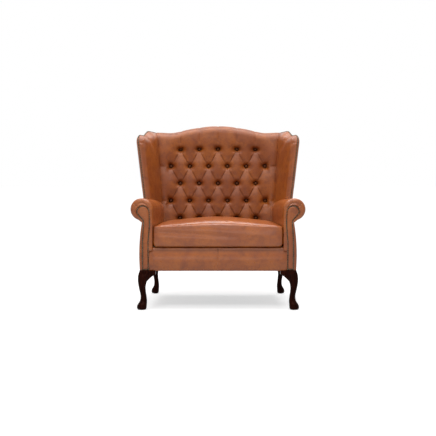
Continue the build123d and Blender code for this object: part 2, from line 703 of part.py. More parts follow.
def outer_back():
    half = [(SEAT_HALF + out, s) for out, s in BACK_LINE]
    corner, foot_x = half[-1][0], half[0][0]
    stations = [(SEAT_HALF - 29) * k / 5 for k in range(-5, 6)]
    middle = [(x, top_s(x) - ROLL_REAR) for x in stations]
    top = Spline([(-corner, BACK_CORNER_S), *middle, (corner, BACK_CORNER_S)])
    right = Polyline(top @ 1, *reversed(half[:-1]))
    left = Polyline(*[(-x, s) for x, s in half[:-1]], top @ 0)
    foot = Line(half[0], (-foot_x, half[0][1]))
    line = face(top, *right.edges(), foot, *left.edges())
    return cut(slab(line, REAR_N, REAR_N - OUTER_SKIN), UNDER_BASE)


def dust_cover():
    """Black cloth under the seat frame, cut round the legs."""
    y0, y1 = POST_FACE_Y + 4, REAR_RAIL_Y + REAR_RAIL_T - 4
    x0 = INNER_X + 20
    x1 = x0 - SIDE_TAPER * (y1 - y0)
    plan = Polyline((-x0, y0), (x0, y0), (x1, y1), (-x1, y1), close=True)
    cloth = Pos(0, 0, BASE_Z - 1.5) * extrude(make_face(plan), 1.5, dir=(0, 0, 1))
    gaps = []
    for (x, y), side in ((FRONT_LEG, 4 * LEG_HALF + 8), (REAR_LEG, 2 * LEG_HALF + 8)):
        gaps += both(Pos(x, y, BASE_Z) * Box(side, side, 20))
    return max(cut(cloth, *gaps).solids(), key=lambda s: s.volume)


# Legs
def leg(place, out_x, out_y, slim):
    """Cabriole leg lofted through rounded squares whose centres sway along the diagonal."""
    faces = []
    for z, half, corner, sway in LEG_SECTIONS:
        side = 2 * half * slim
        plan = RectangleRounded(side, side, min(corner * slim, side * 0.49))
        faces.append(Pos(place[0] + out_x * sway, place[1] + out_y * sway, z) * plan)
    return loft(faces)


def hanger_bolt(place):
    return Pos(place[0], place[1], BASE_Z) * Cylinder(BOLT_R, 84.0)


def knee_brackets(cabriole):
    """Curved ears on both sides of a front leg's knee."""
    x, y = FRONT_LEG
    curve = ThreePointArc((x - 56, BASE_Z - 24), (x - 24, BASE_Z - 50), (x + 2, BASE_Z - 82))
    rest = Polyline(curve @ 1, (x + 2, BASE_Z), (x - 56, BASE_Z), curve @ 0)
    ear = face(curve, *rest.edges())
    inner = Solid.extrude(front_plane(y - 24) * ear, Vector(0, 34, 0))
    turned = Pos(x, y, 0) * Rot(0, 0, -90) * Pos(-x, -y, 0) * Solid.extrude(front_plane(y - 10) * ear, Vector(0, 34, 0))
    found = [max(cut(part, cabriole).solids(), key=lambda s: s.volume) for part in (inner, turned)]
    found[1] = max(cut(found[1], found[0]).solids(), key=lambda s: s.volume)
    return found


def glide(place, out_x, out_y):
    sway = LEG_SECTIONS[-1][3]
    return Pos(place[0] + out_x * sway, place[1] + out_y * sway, GLIDE_T / 2) * Cylinder(13.0, GLIDE_T)


# Nails
def nail():
    """A domed nail with its shank, its head's underside at z = 0."""
    radius = (NAIL_R**2 + NAIL_RISE**2) / (2 * NAIL_RISE)
    ball = Pos(0, 0, NAIL_RISE - radius) * Sphere(radius)
    cap = ball & (Pos(0, 0, NAIL_RISE) * Box(4 * NAIL_R, 4 * NAIL_R, 2 * NAIL_RISE))
    shank = Pos(0, 0, -SHANK_L / 2) * Cylinder(SHANK_R, SHANK_L)
    return (cap + shank).solid()


def nails_along(path, outward, pitch=NAIL_PITCH):
    """Nails at an even pitch along a path, driven against the outward direction at each."""
    count = max(1, round(path.length / pitch))
    one = nail()
    made = []
    for k in range(count):
        share = (k + 0.5) / count
        at = path @ share
        made.append(Plane(at, z_dir=outward(at, path % share)) * one)
    return made


def facing_nails():
    """One row round the keyhole facing, inset from its edge, and across its foot."""
    outline = run(facing_outline(FACE_NAIL_INSET), FACE_REAR_Y - FACE_T, FACE_REAR_Y)
    front = min(outline.faces(), key=lambda f: f.center().Y)
    return nails_along(front.outer_wire(), lambda at, way: Vector(0, -1, 0))


def wing_nails():
    """One row up the wing's front edge and over its cyma top, on the seam of the two leathers."""
    line = wing_outline(0.0, -12.0)
    placed = Plane(WING.from_local_coords(Vector(0, 0, -WING_SKIN)), x_dir=WING.x_dir, z_dir=WING.z_dir) * line
    keep = []
    for edge in placed.edges():
        local = WING.to_local_coords(edge.center())
        if local.X < WING_BACK - 150 and local.Y > -11:
            keep.append(edge)
    path = Wire(keep)
    centre = WING.from_local_coords(Vector(230, 150, -WING_SKIN))

    def outward(at, way):
        """Square to the path, in the wing's own plane, and away from its middle."""
        side = way.cross(WING.z_dir).normalized()
        return side if side.dot(at - centre) > 0 else side * -1

    return [one for one in nails_along(path, outward) if one.center().Y < WING_NAIL_END_Y]


def outer_back_nails():
    """A row down each side of the outer back panel."""
    line = Polyline(*[(SEAT_HALF + out, s) for out, s in BACK_NAIL_LINE])
    placed = back_plane(REAR_N - OUTER_SKIN) * line
    row = nails_along(Wire(placed.edges()), lambda at, way: Vector(0, COS, -SIN))
    return row


# Seat cushion
def cushion_section(y, inset, edge, crown, low):
    half = SEAT_HALF - SIDE_TAPER * (y - FRONT_Y) - CUSHION_SIDE - inset
    left, right = (-half + 5, low), (half - 5, low)
    side_r = ThreePointArc(right, (half, (low + edge) / 2), (half - 3, edge))
    top = ThreePointArc((half - 3, edge), (0, crown), (-half + 3, edge))
    side_l = ThreePointArc((-half + 3, edge), (-half, (low + edge) / 2), left)
    return front_plane(y) * face(Line(left, right), side_r, top, side_l)


def cushion_cover():
    """Crowned seat cushion: the front boxing pulls in at its seams and the top swells."""
    y0, y1 = CUSHION_FRONT_Y, CUSHION_REAR_Y
    sections = []
    for share in CUSHION_STATIONS:
        y = y0 + share * (y1 - y0)
        near = min(y - y0, y1 - y)
        inset = 6 * max(0.0, 1 - near / 9) ** 2
        edge = CUSHION_EDGE_Z + 3 * math.sin(math.pi * share) - inset
        crown = edge + 4 + (CROWN_Z - CUSHION_EDGE_Z - 7) * (1 - abs(2 * share - 1) ** 2.6)
        sections.append(cushion_section(y, inset, edge, crown, DECK_Z + SOFT_GAP))
    return loft(sections, ruled=True)


def cushion_core_plan(grow):
    """Foam block inside the cover, narrower at the rear."""
    y0, y1 = CUSHION_FRONT_Y + CORE_WALL - grow, CUSHION_REAR_Y - CORE_WALL + grow
    x0 = SEAT_HALF - SIDE_TAPER * (y0 - FRONT_Y) - CORE_WALL - 6 + grow
    x1 = SEAT_HALF - SIDE_TAPER * (y1 - FRONT_Y) - CORE_WALL - 6 + grow
    z0, z1 = DECK_Z + CORE_WALL - grow, CUSHION_EDGE_Z - CORE_WALL + grow
    plan = make_face(Polyline((-x0, y0), (x0, y0), (x1, y1), (-x1, y1), close=True))
    return Pos(0, 0, z0) * extrude(plan, z1 - z0, dir=(0, 0, 1))


ZIP_Z = (DECK_Z + CUSHION_EDGE_Z) / 2
ZIP_HALF = SEAT_HALF - 79.0
ZIP_TAPE = (26.0, 1.2)
ZIP_TEETH = (6.0, 2.4)


def zip_strip():
    """Zip on the rear boxing: a tape with its line of teeth, closed by an end stop on each side."""
    y = CUSHION_REAR_Y
    tape = box(-ZIP_HALF, ZIP_HALF, y, y + ZIP_TAPE[1], ZIP_Z - ZIP_TAPE[0] / 2, ZIP_Z + ZIP_TAPE[0] / 2)
    teeth = box(-ZIP_HALF + 6, ZIP_HALF - 6, y + ZIP_TAPE[1], y + ZIP_TEETH[1], ZIP_Z - ZIP_TEETH[0] / 2, ZIP_Z + ZIP_TEETH[0] / 2)
    return (tape + teeth).solid()


def zip_slider():
    """Slider straddling the teeth, with a pull tab hanging from its bridge."""
    y = CUSHION_REAR_Y + ZIP_TAPE[1] + 0.15
    x = -ZIP_HALF + 22
    body = box(x - 6, x + 6, y, y + 3.2, ZIP_Z - 5, ZIP_Z + 5)
    channel = box(x - 10, x + 10, y - 1, CUSHION_REAR_Y + ZIP_TEETH[1] + 0.15, ZIP_Z - ZIP_TEETH[0] / 2 - 0.2, ZIP_Z + ZIP_TEETH[0] / 2 + 0.2)
    tab = box(x - 2.5, x + 2.5, y + 3.2, y + 4.4, ZIP_Z - 26, ZIP_Z + 2)
    return (cut(body, channel) + tab).solid()


# Assembly
front_leg = leg(FRONT_LEG, 1, -1, 1.0)
rear_leg = leg(REAR_LEG, 1, 1, REAR_SLIM)
front_bolt = hanger_bolt(FRONT_LEG)
rear_bolt = hanger_bolt(REAR_BOLT)
border = front_border()
pad = inside_back()
brackets = knee_brackets(front_leg)

save_pair("front_leg", cut(front_leg, front_bolt))
save_pair("rear_leg", cut(rear_leg, rear_bolt))
save("knee_brackets", [twin for part in brackets for twin in both(part)])
save("leg_bolts", both(front_bolt) + both(rear_bolt))
save("floor_glides", both(glide(FRONT_LEG, 1, -1)) + both(glide(REAR_LEG, 1, 1)))
save_pair("arm_post", cut(post, front_bolt))
save_pair("back_post", cut(upright, rear_bolt))
save("front_seat_rail", front_rail)
save("rear_seat_rail", rear_rail)
save_pair("side_seat_rail", cut(side_rail, upright))
save_pair("arm_liner_rail", cut(liner_rail, upright))
save_pair("arm_top_rail", cut(arm_rail, upright))
save_pair("wing_post", wing_post)
save_pair("wing_top_rail", wing_rail)
save("crest_rail", crest)
save("lower_back_rail", low_rail)
save("corner_blocks", corner_blocks())
save("centre_rail", centre_rail())
save("seat_springs", seat_springs())
save("spring_clips", spring_clips())
save("seat_deck", seat_deck())
save("back_webbing", back_webbing())
save("back_hessian", cut(back_hessian(), *uprights))
save("inside_back", pad)
save("back_buttons", back_buttons())
save("tufting_twine", tufting_twine())
save("outer_back", outer_back())
save_pair("inner_wing", wing_in)
save_pair("outer_wing", wing_out)
save_pair("arm_pad", arm_padding)
save_pair("outer_arm", outer_panel)
save_pair("arm_facing", facing)
save("front_border", border)
save("dust_cover", dust_cover())
save_pair("facing_nails", facing_nails())
save_pair("wing_nails", wing_nails())
save("outer_back_nails", [twin for one in outer_back_nails() for twin in both(one)])
core = cushion_core_plan(0.0)
save("cushion_cover", cut(cushion_cover(), cushion_core_plan(SOFT_GAP)))
save("cushion_core", core)
save("cushion_zip", zip_strip())
save("zip_slider", zip_slider())
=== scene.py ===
import json
import math

import bpy
import numpy as np
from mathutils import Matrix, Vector


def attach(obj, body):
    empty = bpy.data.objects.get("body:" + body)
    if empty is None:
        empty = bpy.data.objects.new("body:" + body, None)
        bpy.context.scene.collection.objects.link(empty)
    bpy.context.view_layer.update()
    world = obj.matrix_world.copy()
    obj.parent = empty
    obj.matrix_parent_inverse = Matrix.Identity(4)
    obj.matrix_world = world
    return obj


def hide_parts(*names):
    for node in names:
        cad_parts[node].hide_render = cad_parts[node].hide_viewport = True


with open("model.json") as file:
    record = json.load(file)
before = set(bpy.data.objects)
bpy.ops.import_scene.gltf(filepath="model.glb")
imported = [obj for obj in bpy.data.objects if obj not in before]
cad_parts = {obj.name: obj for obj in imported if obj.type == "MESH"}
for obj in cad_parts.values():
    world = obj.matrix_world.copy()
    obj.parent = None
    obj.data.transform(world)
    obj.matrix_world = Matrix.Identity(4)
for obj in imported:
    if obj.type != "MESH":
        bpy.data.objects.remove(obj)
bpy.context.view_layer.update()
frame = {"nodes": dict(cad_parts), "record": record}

# Dimensions in millimetres, in the frame of the seat's middle; to_metres places them.
SHIFT_Y = 7.15  # brings the middle of the depth to the origin
BASE_Z = 230.0  # under the frame, on the legs
DECK_Z = 366.0  # under the cushion
FRONT_Y = -400.0
SEAT_HALF = 379.0
SIDE_TAPER = 0.054  # each side moves inwards by this much for 1 mm of depth
ARM_FALL = 0.05  # and each arm falls by this much
ROLL = (444.0, 585.0, 65.0)  # the arm's roll in front: middle across, height and radius
HEAD = (434.0, 569.5, 40.5)  # the same for the facing's round head
RAKE = math.radians(12.0)
BACK = (135.0, 500.0)  # depth and height of a place on the back's reclined face
REAR_N = -143.0  # the rear of the back, forwards of that face
COLUMN = 61.75  # half the way between two buttons of a row
ROW_S = (472.3, 357.3, 242.3, 127.3, 12.3)  # the rows' places up the back
BUTTON_DEPTH = 42.0
CREST_Z = 1115.0
DIP_Z = 1071.0
CREST_RUN = 388.0  # from the middle of the crest to its lowest places
CREST_N = 68.0  # half the crest's thickness
WING_CORNER = np.array((473.2, -20.0, 660.0))
WING_FLARE = math.radians(13.0)
WING_T = 62.0
WING_SKIN = 14.0  # from the nailed seam to the outer face
WING_FOOT_H = -86.0  # the next three are heights above the corner, along the wing
WING_FLAT_H = 374.0
WING_PEAK_H = 407.0
WING_NOSE = 52.0  # radius of the upper front corner
WING_STEP = (118.0, 222.0)  # where the top's cyma starts and ends
NAIL_R = 4.3
NAIL_PITCH = 10.4
FRONT_LEG = (419.5, -376.0)  # the middle of a leg's top, across and in depth
REAR_LEG = (392.0, 205.0)

SIN, COS = math.sin(RAKE), math.cos(RAKE)
FRAME_BODY = "loveseat_frame"
BLOWN_FRAMES = 20  # how long the cushion is blown up as cloth
CLOTH_PRESSURE = 4.0
FAR = 1e9  # further than any place of the seat


# Geometry helpers
def to_metres(points):
    """Places in mm as places in the scene."""
    return (np.asarray(points, dtype=float) + (0.0, SHIFT_Y, 0.0)) * 0.001


def smooth(value, low, high):
    """Smooth step: 0 below low, 1 above high."""
    t = np.clip((np.asarray(value, dtype=float) - low) / (high - low), 0.0, 1.0)
    return t * t * (3.0 - 2.0 * t)


def grid_faces(rows, columns, closed=False):
    """Quads between the points of a rows by columns grid, closed round the columns if asked."""
    span = columns if closed else columns - 1
    row = np.arange(rows - 1)[:, None] * columns
    left = np.arange(span)[None, :]
    right = (left + 1) % columns
    quads = np.stack([row + left, row + right, row + columns + right, row + columns + left], axis=-1)
    return quads.reshape(-1, 4)


def fan_faces(first, columns, hub, flip=False):
    """Triangles from a closed ring of points, whose first index is given, to a hub point."""
    a = first + np.arange(columns)
    b = first + (np.arange(columns) + 1) % columns
    c = np.full(columns, hub)
    return np.stack([b, a, c] if flip else [a, b, c], axis=-1)


def closed_rings(rings, hubs=None):
    """Closes a stack of rings with a fan at each end, to a hub or else to the middle of the end ring."""
    rings = np.asarray(rings)
    rows, count = rings.shape[:2]
    total = rows * count
    hubs = np.array([rings[0].mean(axis=0), rings[-1].mean(axis=0)] if hubs is None else hubs)
    faces = [
        grid_faces(rows, count, closed=True), fan_faces(0, count, total, flip=True),
        fan_faces(total - count, count, total + 1),
    ]
    return np.vstack([rings.reshape(-1, 3), hubs]), faces


def rim_of(rows, columns):
    """Indices of a grid's border, in order round it."""
    return np.concatenate([
        np.arange(columns), np.arange(1, rows) * columns + columns - 1,
        (rows - 1) * columns + np.arange(columns - 2, -1, -1), np.arange(rows - 2, 0, -1) * columns,
    ])


def along_axis(points, axis, place):
    """The same points, all laid at one place of an axis."""
    laid = points.copy()
    laid[..., axis] = place
    return laid


def two_sided(front, rear):
    """Closes a sheet: two grids of the same size joined round their border."""
    rows, columns = front.shape[:2]
    rim = rim_of(rows, columns)
    following = np.roll(rim, -1)
    total = rows * columns
    faces = grid_faces(rows, columns)
    side = np.stack([following, rim, rim + total, following + total], axis=-1)
    points = np.vstack([front.reshape(-1, 3), rear.reshape(-1, 3)])
    return points, [faces, side, faces[:, ::-1] + total]


def outward(points, faces):
    """Turns a closed surface's faces outwards, found from the sign of the volume they hold."""
    volume = 0.0
    for f in faces:
        corners = points[f]
        for k in range(1, f.shape[1] - 1):
            volume += np.einsum("ij,ij->", corners[:, 0], np.cross(corners[:, k], corners[:, k + 1]))
    return faces if volume > 0 else [f[:, ::-1] for f in faces]


def joined(parts):
    """Closed surfaces as one, each turned outwards; their quads come first and then their triangles."""
    points, faces, total = [], [], 0
    for p, f in parts:
        faces += [face + total for face in outward(p - p.mean(axis=0), f)]
        points.append(p)
        total += len(p)
    return np.vstack(points), [np.vstack([f for f in faces if f.shape[1] == k]) for k in (4, 3)]


def edges_of(faces):
    """Both directions of each face's edges, as two index arrays."""
    starts = np.concatenate([f.ravel() for f in faces])
    ends = np.concatenate([np.roll(f, -1, axis=1).ravel() for f in faces])
    return np.concatenate([starts, ends]), np.concatenate([ends, starts])


def normals_of(points, faces):
    """Unit normals of the points, weighted by the faces' areas."""
    total = np.zeros_like(points)
    for f in faces:
        corners = points[f]
        normal = np.cross(corners[:, 2] - corners[:, 0], corners[:, -1] - corners[:, 1])
        for k in range(f.shape[1]):
            np.add.at(total, f[:, k], normal)
    length = np.linalg.norm(total, axis=1, keepdims=True)
    return total / np.maximum(length, 1e-9)


def hollow_of(points, faces):
    """How hollow the surface is at each point, in mm.

    That is the neighbours' mean height over it, averaged twice with theirs.
    """
    a, b = edges_of(faces)
    count = np.maximum(np.bincount(a, minlength=len(points)), 1)
    mean = np.stack([np.bincount(a, points[b, k], minlength=len(points)) / count for k in range(3)], axis=1)
    hollow = ((mean - points) * normals_of(points, faces)).sum(axis=1)
    for _ in range(2):
        hollow = 0.5 * hollow + 0.5 * np.bincount(a, hollow[b], minlength=len(points)) / count
    return hollow


def make_mesh(name, points, faces, values=None):
    """A mesh at the origin from points in mm, with named values on its points."""
    mesh = bpy.data.meshes.new(name)
    mesh.vertices.add(len(points))
    mesh.vertices.foreach_set("co", to_metres(points).ravel())
    loops = np.concatenate([f.ravel() for f in faces]).astype(np.int32)
    sizes = np.concatenate([np.full(len(f), f.shape[1]) for f in faces])
    mesh.loops.add(len(loops))
    mesh.loops.foreach_set("vertex_index", loops)
    mesh.polygons.add(len(sizes))
    mesh.polygons.foreach_set("loop_start", (np.cumsum(sizes) - sizes).astype(np.int32))
    mesh.update(calc_edges=True)
    mesh.validate()
    mesh.shade_smooth()
    for key, value in (values or {}).items():
        mark = mesh.attributes.new(key, "FLOAT", "POINT")
        mark.data.foreach_set("value", np.asarray(value, dtype=np.float32))
    return mesh


def places_of(mesh):
    """A mesh's points in mm."""
    found = np.empty(3 * len(mesh.vertices))
    mesh.vertices.foreach_get("co", found)
    return found.reshape(-1, 3) * 1000.0 - (0.0, SHIFT_Y, 0.0)


def blown_up(points, faces, pitch, reach):
    """A form skinned with even squares, pitch mm wide, and blown up as cloth: its points and their movement.

    No point moves further than reach mm.
    """
    scene = bpy.context.scene
    form = bpy.data.objects.new("padding form", make_mesh("padding form", points, faces))
    scene.collection.objects.link(form)
    skin = form.modifiers.new("even skin", "REMESH")
    skin.mode = "VOXEL"
    skin.voxel_size = pitch * 0.001
    form.data = bpy.data.meshes.new_from_object(form.evaluated_get(bpy.context.evaluated_depsgraph_get()))
    form.modifiers.clear()
    leather = form.modifiers.new("leather", "CLOTH")
    leather.settings.use_pressure = True
    leather.settings.uniform_pressure_force = CLOTH_PRESSURE
    leather.settings.effector_weights.gravity = 0.0
    start = places_of(form.data)
    for step in range(1, BLOWN_FRAMES + 1):
        scene.frame_set(step)
    move = places_of(form.evaluated_get(bpy.context.evaluated_depsgraph_get()).data) - start
    scene.frame_set(1)
    bpy.data.objects.remove(form)
    length = np.maximum(np.linalg.norm(move, axis=1, keepdims=True), 1e-6)
    return start, move * np.minimum(1.0, reach / length)


def carried(values, places, points):
    """The value of the nearest place, for each point."""
    nearest = [
        np.argmin(((block[:, None, :] - places[None, :, :]) ** 2).sum(axis=2), axis=1)
        for block in np.array_split(points, max(1, len(points) // 400))
    ]
    return values[np.concatenate(nearest)]


def add_piece(name, points, faces, material, replaces, body=FRAME_BODY, slot="leather", fill=None, shade=0.0):
    """Adds a closed piece in place of the nodes it replaces.

    Its points hold how hollow the surface is there, and shade adds to that. fill is given for padding, but it
    is not used.
    """
    faces = outward(points - points.mean(axis=0), faces)
    # The hollow value, with the shade added, is what the leather finishes paint as shade.
    values = {"hollow": hollow_of(points, faces) + shade}
    piece = bpy.data.objects.new(name, make_mesh(name, points, faces, values))
    piece.data.materials.append(material)
    bpy.context.scene.collection.objects.link(piece)
    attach(piece, body)
    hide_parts(*replaces)


def mirrored(points, faces):
    """The twin across X = 0, with its faces turned to match."""
    return points * (-1.0, 1.0, 1.0), [f[:, ::-1] for f in faces]


def add_pair(name, points, faces, material, replaces, **more):
    """Adds a right-hand piece and its left twin."""
    for side, (p, f) in (("right", (points, faces)), ("left", mirrored(points, faces))):
        add_piece(f"{name}_{side}", p, f, material, (f"{replaces}_{side}",), **more)


def world_back(n, s, x):
    """Points of the reclined back, n forwards of it and s up along it."""
    return np.stack([x, BACK[0] + s * SIN - n * COS, BACK[1] + s * COS + n * SIN], axis=-1)


def back_n(points):
    """How far forwards of the back's face points lie."""
    return -(points[..., 1] - BACK[0]) * COS + (points[..., 2] - BACK[1]) * SIN


def crest_s(x):
    """How far up the back the top edge lies: a raised middle between two dips."""
    share = np.minimum(1.0, np.abs(x) / CREST_RUN)
    z = DIP_Z + (CREST_Z - DIP_Z) * (1 + np.cos(np.pi * share)) / 2
    return (z - BACK[1] + CREST_N * SIN) / COS


def wing_axes():
    """Backwards along the wing, up along it, and outwards."""
    forward = np.array((math.sin(WING_FLARE), -math.cos(WING_FLARE), 0.0))
    rise = np.array((0.12, 0.015, 1.0))
    out = np.cross(rise, forward)
    out /= np.linalg.norm(out)
    return -forward, np.cross(out, -forward), out


WING_BACKWARD, WING_UP, WING_OUT = wing_axes()


def world_wing(b, h, w):
    """Points of the right wing: b backwards, h up and w outwards from its corner."""
    return WING_CORNER + b[..., None] * WING_BACKWARD + h[..., None] * WING_UP + w[..., None] * WING_OUT


def waves(points, scale, seed):
    """Smooth deterministic noise: crossed sines whose directions come from the seed."""
    rng = np.random.default_rng(seed)
    total = np.zeros(points.shape[:-1])
    size = 1.0
    for _ in range(3):
        for _ in range(4):
            direction = rng.normal(size=3)
            direction /= np.linalg.norm(direction)
            phase = rng.uniform(0, 2 * np.pi)
            total += size * np.sin(points @ direction * (2 * np.pi / scale) + phase)
        size *= 0.5
        scale *= 0.5
    return total / 5.0


def nearest_on(points, path, closed=True):
    """The nearest place of a polyline to each 2-D point, and its distance."""
    best = np.full(points.shape[:-1], FAR)
    found = points
    for p, q in zip(path, np.roll(path, -1, axis=0) if closed else path[1:]):
        d = q - p
        t = np.clip(((points - p) @ d) / max(d @ d, 1e-9), 0, 1)
        here = p + t[..., None] * d
        away = np.linalg.norm(points - here, axis=-1)
        closer = away < best
        best = np.where(closer, away, best)
        found = np.where(closer[..., None], here, found)
    return found, best


def resample(path, count, closed=False):
    """Evenly spaced points along a polyline."""
    line = np.vstack([path, path[:1]]) if closed else path
    steps = np.linalg.norm(np.diff(line, axis=0), axis=1)
    at = np.concatenate([[0], np.cumsum(steps)])
    where = np.linspace(0, at[-1], count, endpoint=not closed)
    return np.stack([np.interp(where, at, line[:, k]) for k in range(line.shape[1])], axis=1)


def arc(cx, cz, r, start, end, count=24):
    """Points of a circle from one angle to another, in degrees."""
    turn = np.radians(np.linspace(start, end, count))
    return np.stack([cx + r * np.cos(turn), cz + r * np.sin(turn)], axis=1)


def inward_of(outline):
    """Unit directions into a closed clockwise outline."""
    along = np.roll(outline, -1, axis=0) - np.roll(outline, 1, axis=0)
    along /= np.linalg.norm(along, axis=1, keepdims=True)
    return np.stack([along[:, 1], -along[:, 0]], axis=1)


def enlarged(values, rows, columns):
    """A grid of values stretched to more rows and columns."""
    by_row = np.linspace(0, values.shape[0] - 1, rows)
    by_column = np.linspace(0, values.shape[1] - 1, columns)
    tall = np.stack([np.interp(by_row, np.arange(values.shape[0]), line) for line in values.T], axis=1)
    return np.stack([np.interp(by_column, np.arange(values.shape[1]), line) for line in tall])


# Materials
def add_node(tree, kind, settings, sockets, output=0):
    """An output of a new node, whose settings are set first and then its sockets' values or links."""
    node = tree.nodes.new(kind)
    for key, value in settings.items():
        setattr(node, key, value)
    for key, value in sockets.items():
        if isinstance(value, Value):
            tree.links.new(value.socket, node.inputs[key])
        else:
            node.inputs[key].default_value = value
    return Value(tree, node.outputs[output])


class Value:
    """A socket of a node tree, whose numbers can be added, subtracted and multiplied."""

    def __init__(self, tree, socket):
        self.tree = tree
        self.socket = socket

    def math(self, operation, other):
        """This and another value or number, joined by an operation of Blender's Math node."""
        return add_node(self.tree, "ShaderNodeMath", {"operation": operation}, {0: self, 1: other})

    def __add__(self, other):
        return self.math("ADD", other)

    def __sub__(self, other):
        return self.math("SUBTRACT", other)

    def __rsub__(self, other):
        return self * -1.0 + other

    def __mul__(self, other):
        return self.math("MULTIPLY", other)

    __radd__ = __add__
    __rmul__ = __mul__

    def between_values(self, low, high):
        """low where this is 0 and high where it is 1."""
        return self * (high - low) + low

    def clamp(self):
        """The value kept between 0 and 1."""
        return add_node(self.tree, "ShaderNodeClamp", {}, {0: self})

    def between(self, low, high):
        """0 at low and 1 at high, eased between them."""
        limits = {"Value": self, "From Min": low, "From Max": high}
        return add_node(self.tree, "ShaderNodeMapRange", {"interpolation_type": "SMOOTHSTEP"}, limits)


class Finish:
    """A material under construction: texture sockets, colour mixes and one shader."""

    def __init__(self, name, **constants):
        self.material = bpy.data.materials.new(name)
        self.material.use_nodes = True
        self.tree = self.material.node_tree
        self.shader = self.tree.nodes["Principled BSDF"]
        for key, value in constants.items():
            self.shader.inputs[key.replace("_", " ")].default_value = value
        self.place = add_node(self.tree, "ShaderNodeTexCoord", {}, {}, "Object")

    def stretched(self, scale):
        """Object coordinates scaled by axis."""
        return add_node(self.tree, "ShaderNodeMapping", {}, {"Vector": self.place, "Scale": scale})

    def noise(self, scale, detail, rough, place=None, distortion=0.0):
        """Noise of a scale per metre."""
        sockets = {"Vector": place or self.place, "Scale": scale, "Detail": detail}
        sockets |= {"Roughness": rough, "Distortion": distortion}
        return add_node(self.tree, "ShaderNodeTexNoise", {}, sockets, "Fac")

    def cells(self, scale):
        """Rounded cells of a scale per metre: the distance from their middles."""
        sockets = {"Vector": self.place, "Scale": scale}
        return add_node(self.tree, "ShaderNodeTexVoronoi", {"feature": "SMOOTH_F1"}, sockets, "Distance")

    def mark(self, name):
        """A value held by the mesh's points."""
        return add_node(self.tree, "ShaderNodeAttribute", {"attribute_name": name}, {}, "Fac")

    def mix(self, share, first, second):
        """The first colour where the share is 0 and the second where it is 1."""
        colours = [(*c, 1.0) if isinstance(c, tuple) else c for c in (first, second)]
        sockets = {"Factor": share, 6: colours[0], 7: colours[1]}
        return add_node(self.tree, "ShaderNodeMix", {"data_type": "RGBA"}, sockets, 2)

    def send(self, value, key):
        """Links a value or a colour to an input of the shader."""
        self.tree.links.new(value.socket, self.shader.inputs[key])

    def bump(self, height, distance):
        """Fine relief, distance metres high where the height is 1."""
        relief = add_node(self.tree, "ShaderNodeBump", {}, {"Distance": distance, "Height": height})
        self.send(relief, "Normal")


def leather_finish(name, tint=0.95, gloss=0.27, satin=0.27):
    """Hand-rubbed leather: cognac over tan, with plum-brown clouds, a fine grain and painted shade that
    darkens its hollows.
    """
    leather = Finish(name, Roughness=0.4, Specular_IOR_Level=gloss, Coat_Roughness=satin - 0.08)
    cloud = leather.noise(7.0, 4.0, 0.6, distortion=0.6)
    patch = leather.noise(26.0, 5.0, 0.65, distortion=0.4)
    speck = leather.noise(120.0, 4.0, 0.75)
    hollow = leather.mark("hollow")
    shades = ((0.365, 0.097, 0.015), (0.285, 0.070, 0.015), (0.155, 0.040, 0.016), (0.050, 0.013, 0.005))
    amber, tan, plum, dark = (tuple(c * tint for c in shade) for shade in shades)
    base = leather.mix(cloud.between(0.36, 0.64), amber, tan)
    base = leather.mix((patch.between(0.44, 0.70) * 0.5).clamp(), base, plum)
    base = leather.mix((speck.between(0.46, 0.74) * 0.45).clamp(), base, plum)
    # Painted shade: where the surface is hollow, or a piece adds shade, the colour darkens towards the
    # darkest shade and the coat thins.
    deep = hollow.between(0.06, 0.72)
    base = leather.mix(deep, base, dark)
    leather.send(base, "Base Color")
    leather.send(deep.between_values(gloss, 0.0), "Coat Weight")
    leather.send((patch.between(0.3, 0.8) * 0.12 + deep * 0.2 + satin).clamp(), "Roughness")
    grain = leather.cells(620.0)
    fold = leather.noise(70.0, 4.0, 0.6, distortion=1.2)
    leather.bump(grain * 0.5 + fold * 0.9, 0.0005)
    return leather.material


def wood_finish(name, light, deep, specular, rough, tint=(1.0, 1.0, 1.0)):
    """Straight-grained wood: long stretched streaks, under a varnish where the specular tint is warm."""
    wood = Finish(name, Roughness=rough, Specular_IOR_Level=specular, Specular_Tint=(*tint, 1.0))
    streak = wood.noise(90.0, 5.0, 0.6, place=wood.stretched((1.0, 1.0, 0.09)), distortion=0.7)
    pore = wood.noise(700.0, 2.0, 0.6, place=wood.stretched((1.0, 1.0, 0.05)))
    base = wood.mix(streak.between(0.34, 0.68), deep, light)
    base = wood.mix((pore.between(0.56, 0.72) * 0.6).clamp(), base, tuple(c * 0.4 for c in deep))
    wood.send(base, "Base Color")
    wood.bump(pore * 0.6 + streak * 0.4, 0.00015)
    return wood.material


def brass_finish():
    """Antiqued brass: lighter brass and a dark brown patina, mixed unevenly in tone and polish."""
    brass = Finish("antique_brass", Metallic=1.0, Roughness=0.4)
    tone = brass.noise(260.0, 2.0, 0.5)
    brass.send(brass.mix(tone.between(0.35, 0.7), (0.120, 0.095, 0.065), (0.030, 0.020, 0.012)), "Base Color")
    brass.send((tone * 0.2 + 0.14).clamp(), "Roughness")
    return brass.material


def cloth_finish(name, light, deep, pitch):
    """Plain weave: crossed ribs at the thread pitch, with uneven threads."""
    cloth = Finish(name, Roughness=0.9)
    rib = []
    for scale in ((1.0, 0.02, 0.02), (0.02, 1.0, 1.0)):
        rib.append(cloth.noise(1.0 / pitch, 1.0, 0.5, place=cloth.stretched(scale)))
    weave = rib[0] * rib[1]
    cloth.send(cloth.mix(weave.between(0.12, 0.4), deep, light), "Base Color")
    cloth.bump(weave, 0.0006)
    return cloth.material


def metal_finish(name, colour, rough):
    """Plain metal, a little uneven in tone and polish."""
    metal = Finish(name, Metallic=1.0, Roughness=rough)
    tone = metal.noise(120.0, 3.0, 0.6)
    metal.send(metal.mix(tone.between(0.3, 0.7), colour, tuple(c * 0.7 for c in colour)), "Base Color")
    metal.send((tone * 0.25 + rough - 0.1).clamp(), "Roughness")
    return metal.material


